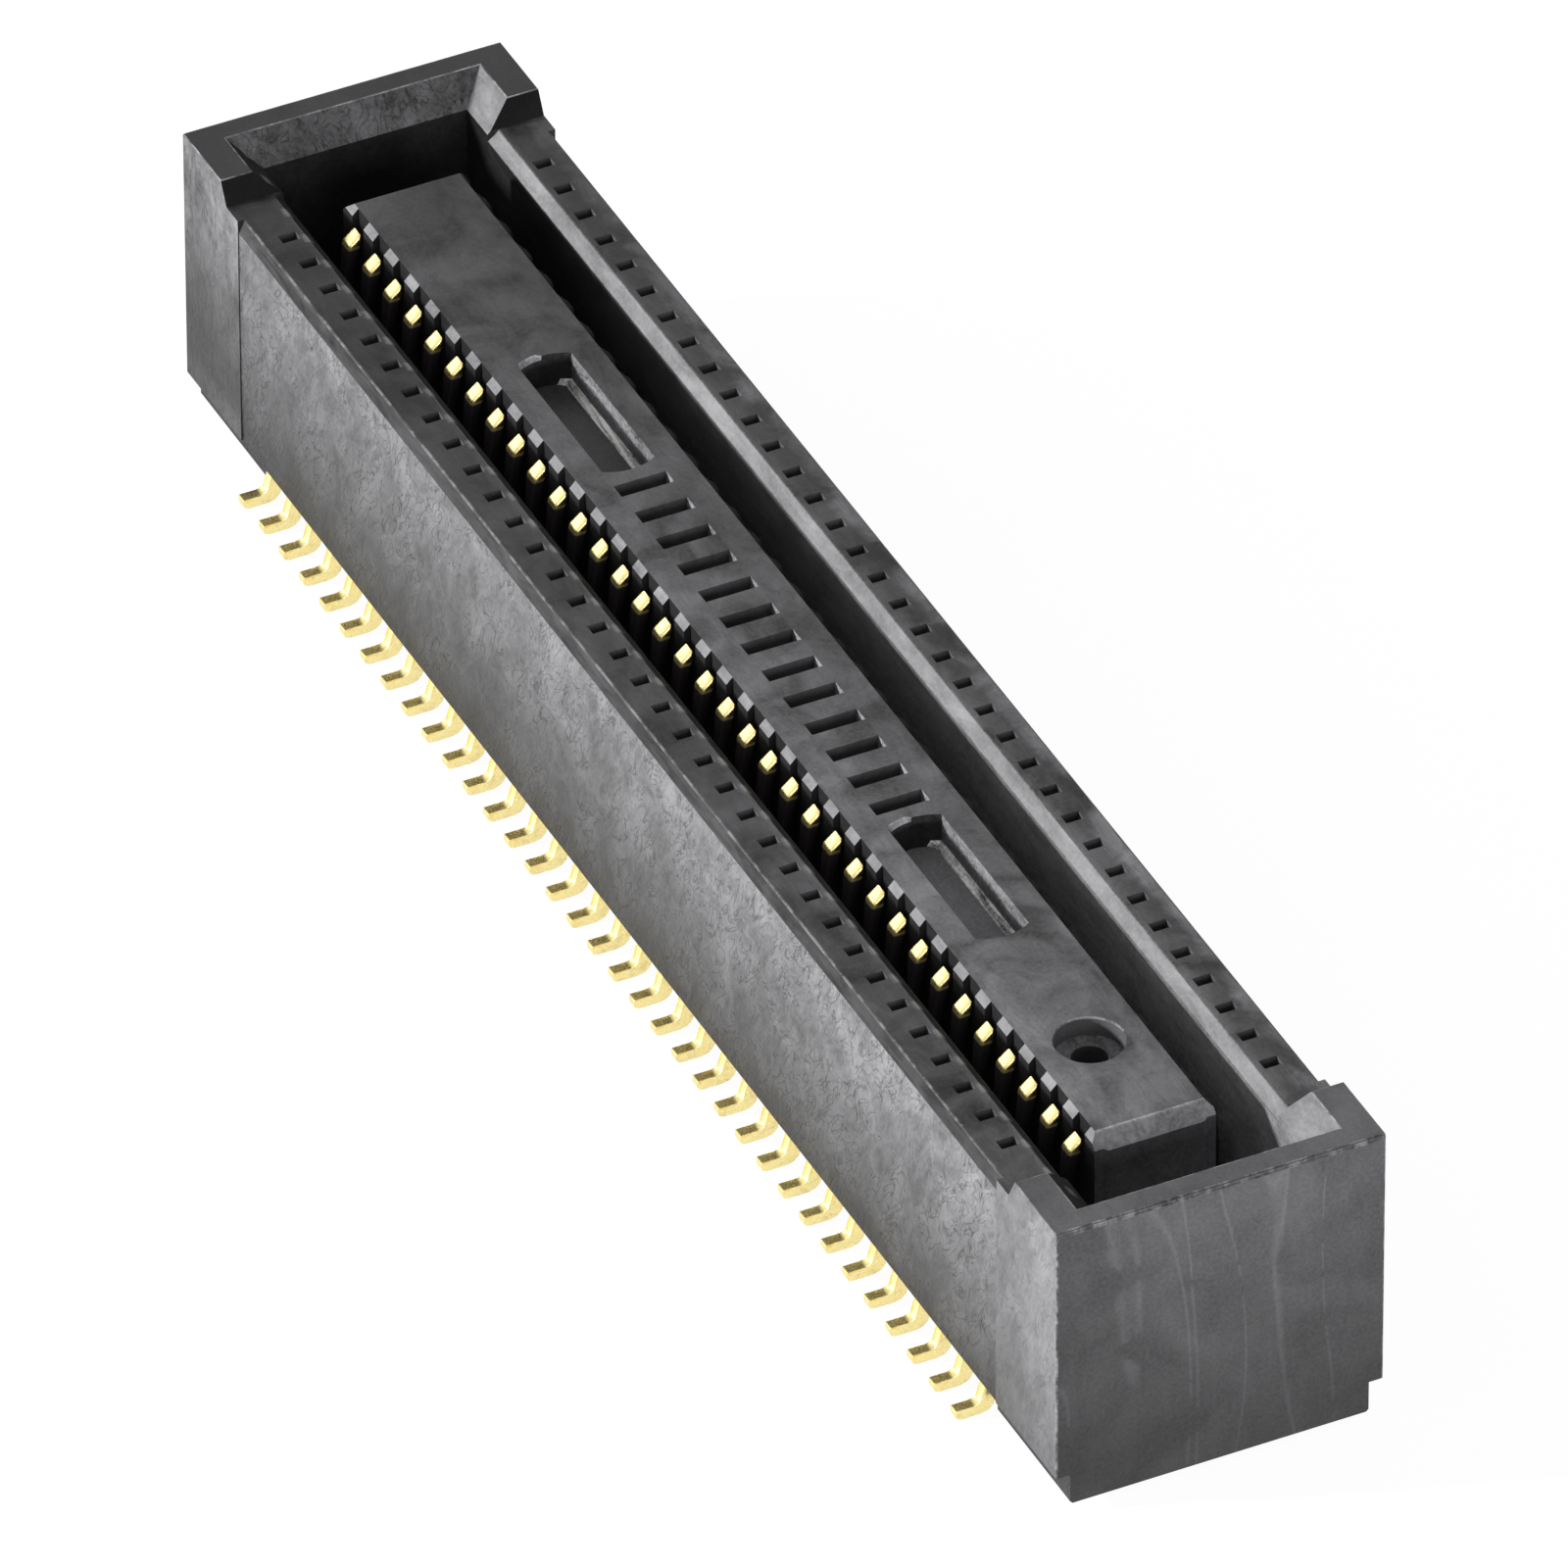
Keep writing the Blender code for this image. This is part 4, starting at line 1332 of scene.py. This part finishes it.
@dataclass
class ContactRows:
    """Both rows of contacts. One blank is modelled on the +X side and copied."""

    layout: Layout
    half_thickness: float = 0.10 * MM
    edge_width: float = 0.018 * MM
    tip_edge_width: float = 0.048 * MM
    tip_edge_foot: float = 4.1 * MM
    base_x: Span = (1.02 * MM, 2.80 * MM)
    base_z: Span = (0.80 * MM, 1.15 * MM)
    beam: tuple = (((1.02, 1.15), (1.34, 1.15)), ((1.042, 1.50), (1.34, 1.50)),
                   ((1.21, 4.21), (1.41, 4.21)), ((1.09, 5.00), (1.345, 4.80)),
                   ((1.09, 5.10), (1.335, 4.90)))
    tip_foot: float = 4.50 * MM
    tip_swell: float = 1.50
    post: tuple = (((2.2225, 1.15), (2.5175, 1.15)), ((2.2225, 2.34), (2.5175, 2.34)),
                   ((2.2875, 2.60), (2.4525, 2.60)))
    leg: tuple = (((2.61, 0.80), (2.80, 0.80)), ((2.61, 0.60), (2.80, 0.60)),
                  ((2.61, 0.26), (2.90, 0.255)), ((2.645, 0.13), (2.955, 0.23)),
                  ((2.74, 0.035), (2.995, 0.216)), ((2.87, 0.0), (3.04, 0.21)),
                  ((3.25, 0.0), (3.26, 0.21)), ((3.321, 0.029), (3.325, 0.21)),
                  ((3.35, 0.10), (3.35, 0.21)))
    pieces: list[Workpiece] = field(default_factory=list)

    def _blank(self) -> Workpiece:
        """Model one contact by growing its limbs out of the base."""
        blank = Workpiece.block("contact_blank", self.base_x, both(self.half_thickness), self.base_z)
        limbs = ((self.beam, 1), (self.post, 1), (self.leg, -1))
        for limb, _ in limbs:
            for x, _ in limb[0]:
                if self.base_x[0] + TOLERANCE < x * MM < self.base_x[1] - TOLERANCE:
                    blank.slice(Axis.X, x * MM)
        for limb, up in limbs:
            self._grow(blank, limb, up)
        blank.scale_points(lambda co: co.z > self.tip_foot, (1.0, self.tip_swell, 1.0),
                           (0.0, 0.0, self.tip_foot))
        blank.soften(lambda co: co.z > self.tip_edge_foot, self.tip_edge_width, 3)
        blank.soften(lambda co: co.z < self.tip_edge_foot, self.edge_width, 2)
        blank.finish_mesh()
        return blank

    @staticmethod
    def _grow(blank: Workpiece, sections: tuple, up: int) -> None:
        """Extrude one limb through its sections.

        Args:
            blank: The contact blank.
            sections: Two edge points of each section, as X and Z in millimetres.
            up: 1 if the limb starts on the top of the base, -1 if below it.
        """
        left, right = (point[0] * MM for point in sections[0])
        with blank.editing():
            blank.pick_faces(lambda co, n: n.z * up > Turn.SQUARE and left < co.x < right)
            for before, after in zip(sections, sections[1:]):
                old = [Vector((x * MM, 0.0, z * MM)) for x, z in before]
                new = [Vector((x * MM, 0.0, z * MM)) for x, z in after]
                old_run, new_run = old[1] - old[0], new[1] - new[0]
                centre = (new[0] + new[1]) / 2
                bpy.ops.mesh.extrude_region_move(
                    TRANSFORM_OT_translate={"value": centre - (old[0] + old[1]) / 2})
                turn = math.atan2(new_run.z, new_run.x) - math.atan2(old_run.z, old_run.x)
                if abs(turn) > LEAST_TURN:
                    bpy.ops.transform.rotate(value=turn, orient_axis="Y", orient_type="GLOBAL",
                                             center_override=centre)
                ratio = new_run.length / old_run.length
                bpy.ops.transform.resize(value=(ratio, 1.0, ratio), center_override=centre)

    def build(self) -> None:
        """Model the blank and copy it to every place of both rows."""
        blank = self._blank()
        for row in Row:
            for index, y in enumerate(self.layout.contact_places()):
                name = f"plated_contact_{row.name.lower()}_{index + 1:02d}"
                self.pieces.append(blank.twin(name, row.place(y)))
        bpy.data.objects.remove(blank.obj, do_unlink=True)

    def dress(self, effects: SharedEffects) -> None:
        """Plate the contacts and put them on the part.

        Args:
            effects: The shared node groups.
        """
        plating = GoldPlating().build(effects)
        for piece in self.pieces:
            piece.paint([plating], lambda centre, normal: 0)
            node = piece.obj.name.removeprefix("plated_")
            piece.mount("contacts", *([node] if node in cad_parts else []))
        LOG.info("contacts: %d pieces of %d faces", len(self.pieces),
                 len(self.pieces[0].obj.data.polygons))


# Studio


@dataclass
class Studio:
    """The floor, the light and the camera."""

    target: Vector = field(default_factory=lambda: Vector((0.0, 0.0, 2.198 * MM)))
    azimuth: float = math.radians(-25.8546)
    elevation: float = math.radians(37.7845)
    roll: float = math.radians(-0.1641)
    distance: float = 467.81 * MM
    lens: float = 649.13
    shift: Point2 = (0.00833, 0.0064)
    sensor: float = 36.0
    clip: Span = (0.01, 10.0)
    lamp_distance: float = 0.5
    floor_size: float = 3.0
    floor_lit: float = 0.80
    floor_seen: float = 0.12
    floor_glow: float = 0.945
    sky_level: float = 0.30
    key_from: tuple[float, float, float] = (-0.92, 0.32, 0.25)
    key_size: float = 0.045
    key_level: float = 1.5
    panel_from: tuple[float, float, float] = (-0.56, 0.71, 0.42)
    panel_size: Point2 = (0.45, 0.22)
    panel_level: float = 1.6
    fill_from: tuple[float, float, float] = (-0.05, -0.97, 0.25)
    fill_size: Point2 = (0.50, 0.25)
    fill_level: float = 2.5

    def build(self) -> None:
        """Set up all of the studio."""
        self._world()
        self._floor()
        self._lamp("key_light", self.key_from, (self.key_size, self.key_size),
                   self.key_level * math.pi)
        self._panel("soft_panel", self.panel_from, self.panel_size, self.panel_level)
        self._panel("fill_panel", self.fill_from, self.fill_size, self.fill_level)
        self._camera()
        bpy.context.scene.view_settings.view_transform = "Standard"

    @staticmethod
    def _seen(graph: Graph) -> Socket:
        """Return 1 for rays that show a backdrop: camera, glossy and transmission rays."""
        path = graph.put("ShaderNodeLightPath").outputs
        seen = graph.math("ADD", path["Is Camera Ray"], path["Is Glossy Ray"])
        return graph.math("ADD", seen, path["Is Transmission Ray"], clamp=True)

    def _world(self) -> None:
        """Make a plain sky that shows white and lights at its own level."""
        world = bpy.data.worlds.new("plain_studio")
        world.use_nodes = True
        bpy.context.scene.world = world
        graph = Graph(world.node_tree)
        back = world.node_tree.nodes["Background"]
        back.inputs["Color"].default_value = self._grey(1.0)
        seen = self._seen(graph)
        graph.feed(back.inputs["Strength"],
                   graph.math("MULTIPLY_ADD", seen, 1.0 - self.sky_level, self.sky_level))

    def _floor(self) -> None:
        """Lay the pale floor, which keeps a faint shadow."""
        clear_selection()
        bpy.ops.mesh.primitive_plane_add(size=self.floor_size, location=(0.0, 0.0, 0.0))
        floor = bpy.context.active_object
        floor.name = "floor"
        material, graph, shader = new_material("pale_floor")
        seen = self._seen(graph)
        graph.feed(shader["Base Color"],
                   graph.mix(seen, self._grey(self.floor_lit), self._grey(self.floor_seen)))
        graph.feed(shader["Emission Color"],
                   graph.mix(seen, self._grey(0.0), self._grey(self.floor_glow)))
        shader["Roughness"].default_value = 1.0
        shader["Specular IOR Level"].default_value = 0.0
        shader["Emission Strength"].default_value = 1.0
        floor.data.materials.append(material)

    @staticmethod
    def _grey(level: float) -> Color:
        """Return a grey."""
        return (level, level, level, 1.0)

    def _lamp(self, name: str, toward: tuple, size: Point2, irradiance: float) -> None:
        """Hang a rectangular lamp that faces the object.

        Args:
            name: Name of the lamp.
            toward: Direction from the object to the lamp.
            size: Width and height.
            irradiance: Light on a surface that faces the lamp, where pi lights white to 1.
        """
        light = bpy.data.lights.new(name, "AREA")
        light.shape = "RECTANGLE"
        light.size, light.size_y = size
        light.energy = irradiance * math.pi * self.lamp_distance ** 2
        lamp = bpy.data.objects.new(name, light)
        bpy.context.scene.collection.objects.link(lamp)
        direction = Vector(toward).normalized()
        lamp.location = direction * self.lamp_distance
        lamp.rotation_euler = direction.to_track_quat("Z", "Y").to_euler()
        lamp.visible_camera = False

    def _panel(self, name: str, toward: tuple, size: Point2, level: float) -> None:
        """Hang a wide soft panel that looks as bright as its level."""
        solid = size[0] * size[1] / self.lamp_distance ** 2
        self._lamp(name, toward, size, level * solid)

    def _camera(self) -> None:
        """Aim the camera as the photograph was taken."""
        back = Vector((math.sin(self.azimuth) * math.cos(self.elevation),
                       -math.cos(self.azimuth) * math.cos(self.elevation),
                       math.sin(self.elevation)))
        right = Vector((0.0, 0.0, 1.0)).cross(back).normalized()
        up = back.cross(right)
        cos, sin = math.cos(self.roll), math.sin(self.roll)
        right, up = right * cos + up * sin, up * cos - right * sin
        data = bpy.data.cameras.new("studio_camera")
        data.lens, data.sensor_width = self.lens, self.sensor
        data.shift_x, data.shift_y = self.shift
        data.clip_start, data.clip_end = self.clip
        camera = bpy.data.objects.new("studio_camera", data)
        bpy.context.scene.collection.objects.link(camera)
        turn = Matrix((right, up, back)).transposed()
        camera.matrix_world = Matrix.Translation(self.target + back * self.distance) @ turn.to_4x4()
        bpy.context.scene.camera = camera


def main() -> None:
    """Build the connector and the studio round it."""
    logging.basicConfig(level=logging.INFO, format="%(name)s: %(message)s")
    layout = Layout()
    effects = SharedEffects()
    for part in (Housing(layout), ContactRows(layout)):
        part.build()
        part.dress(effects)
    Studio().build()


if __name__ == "__main__":
    main()
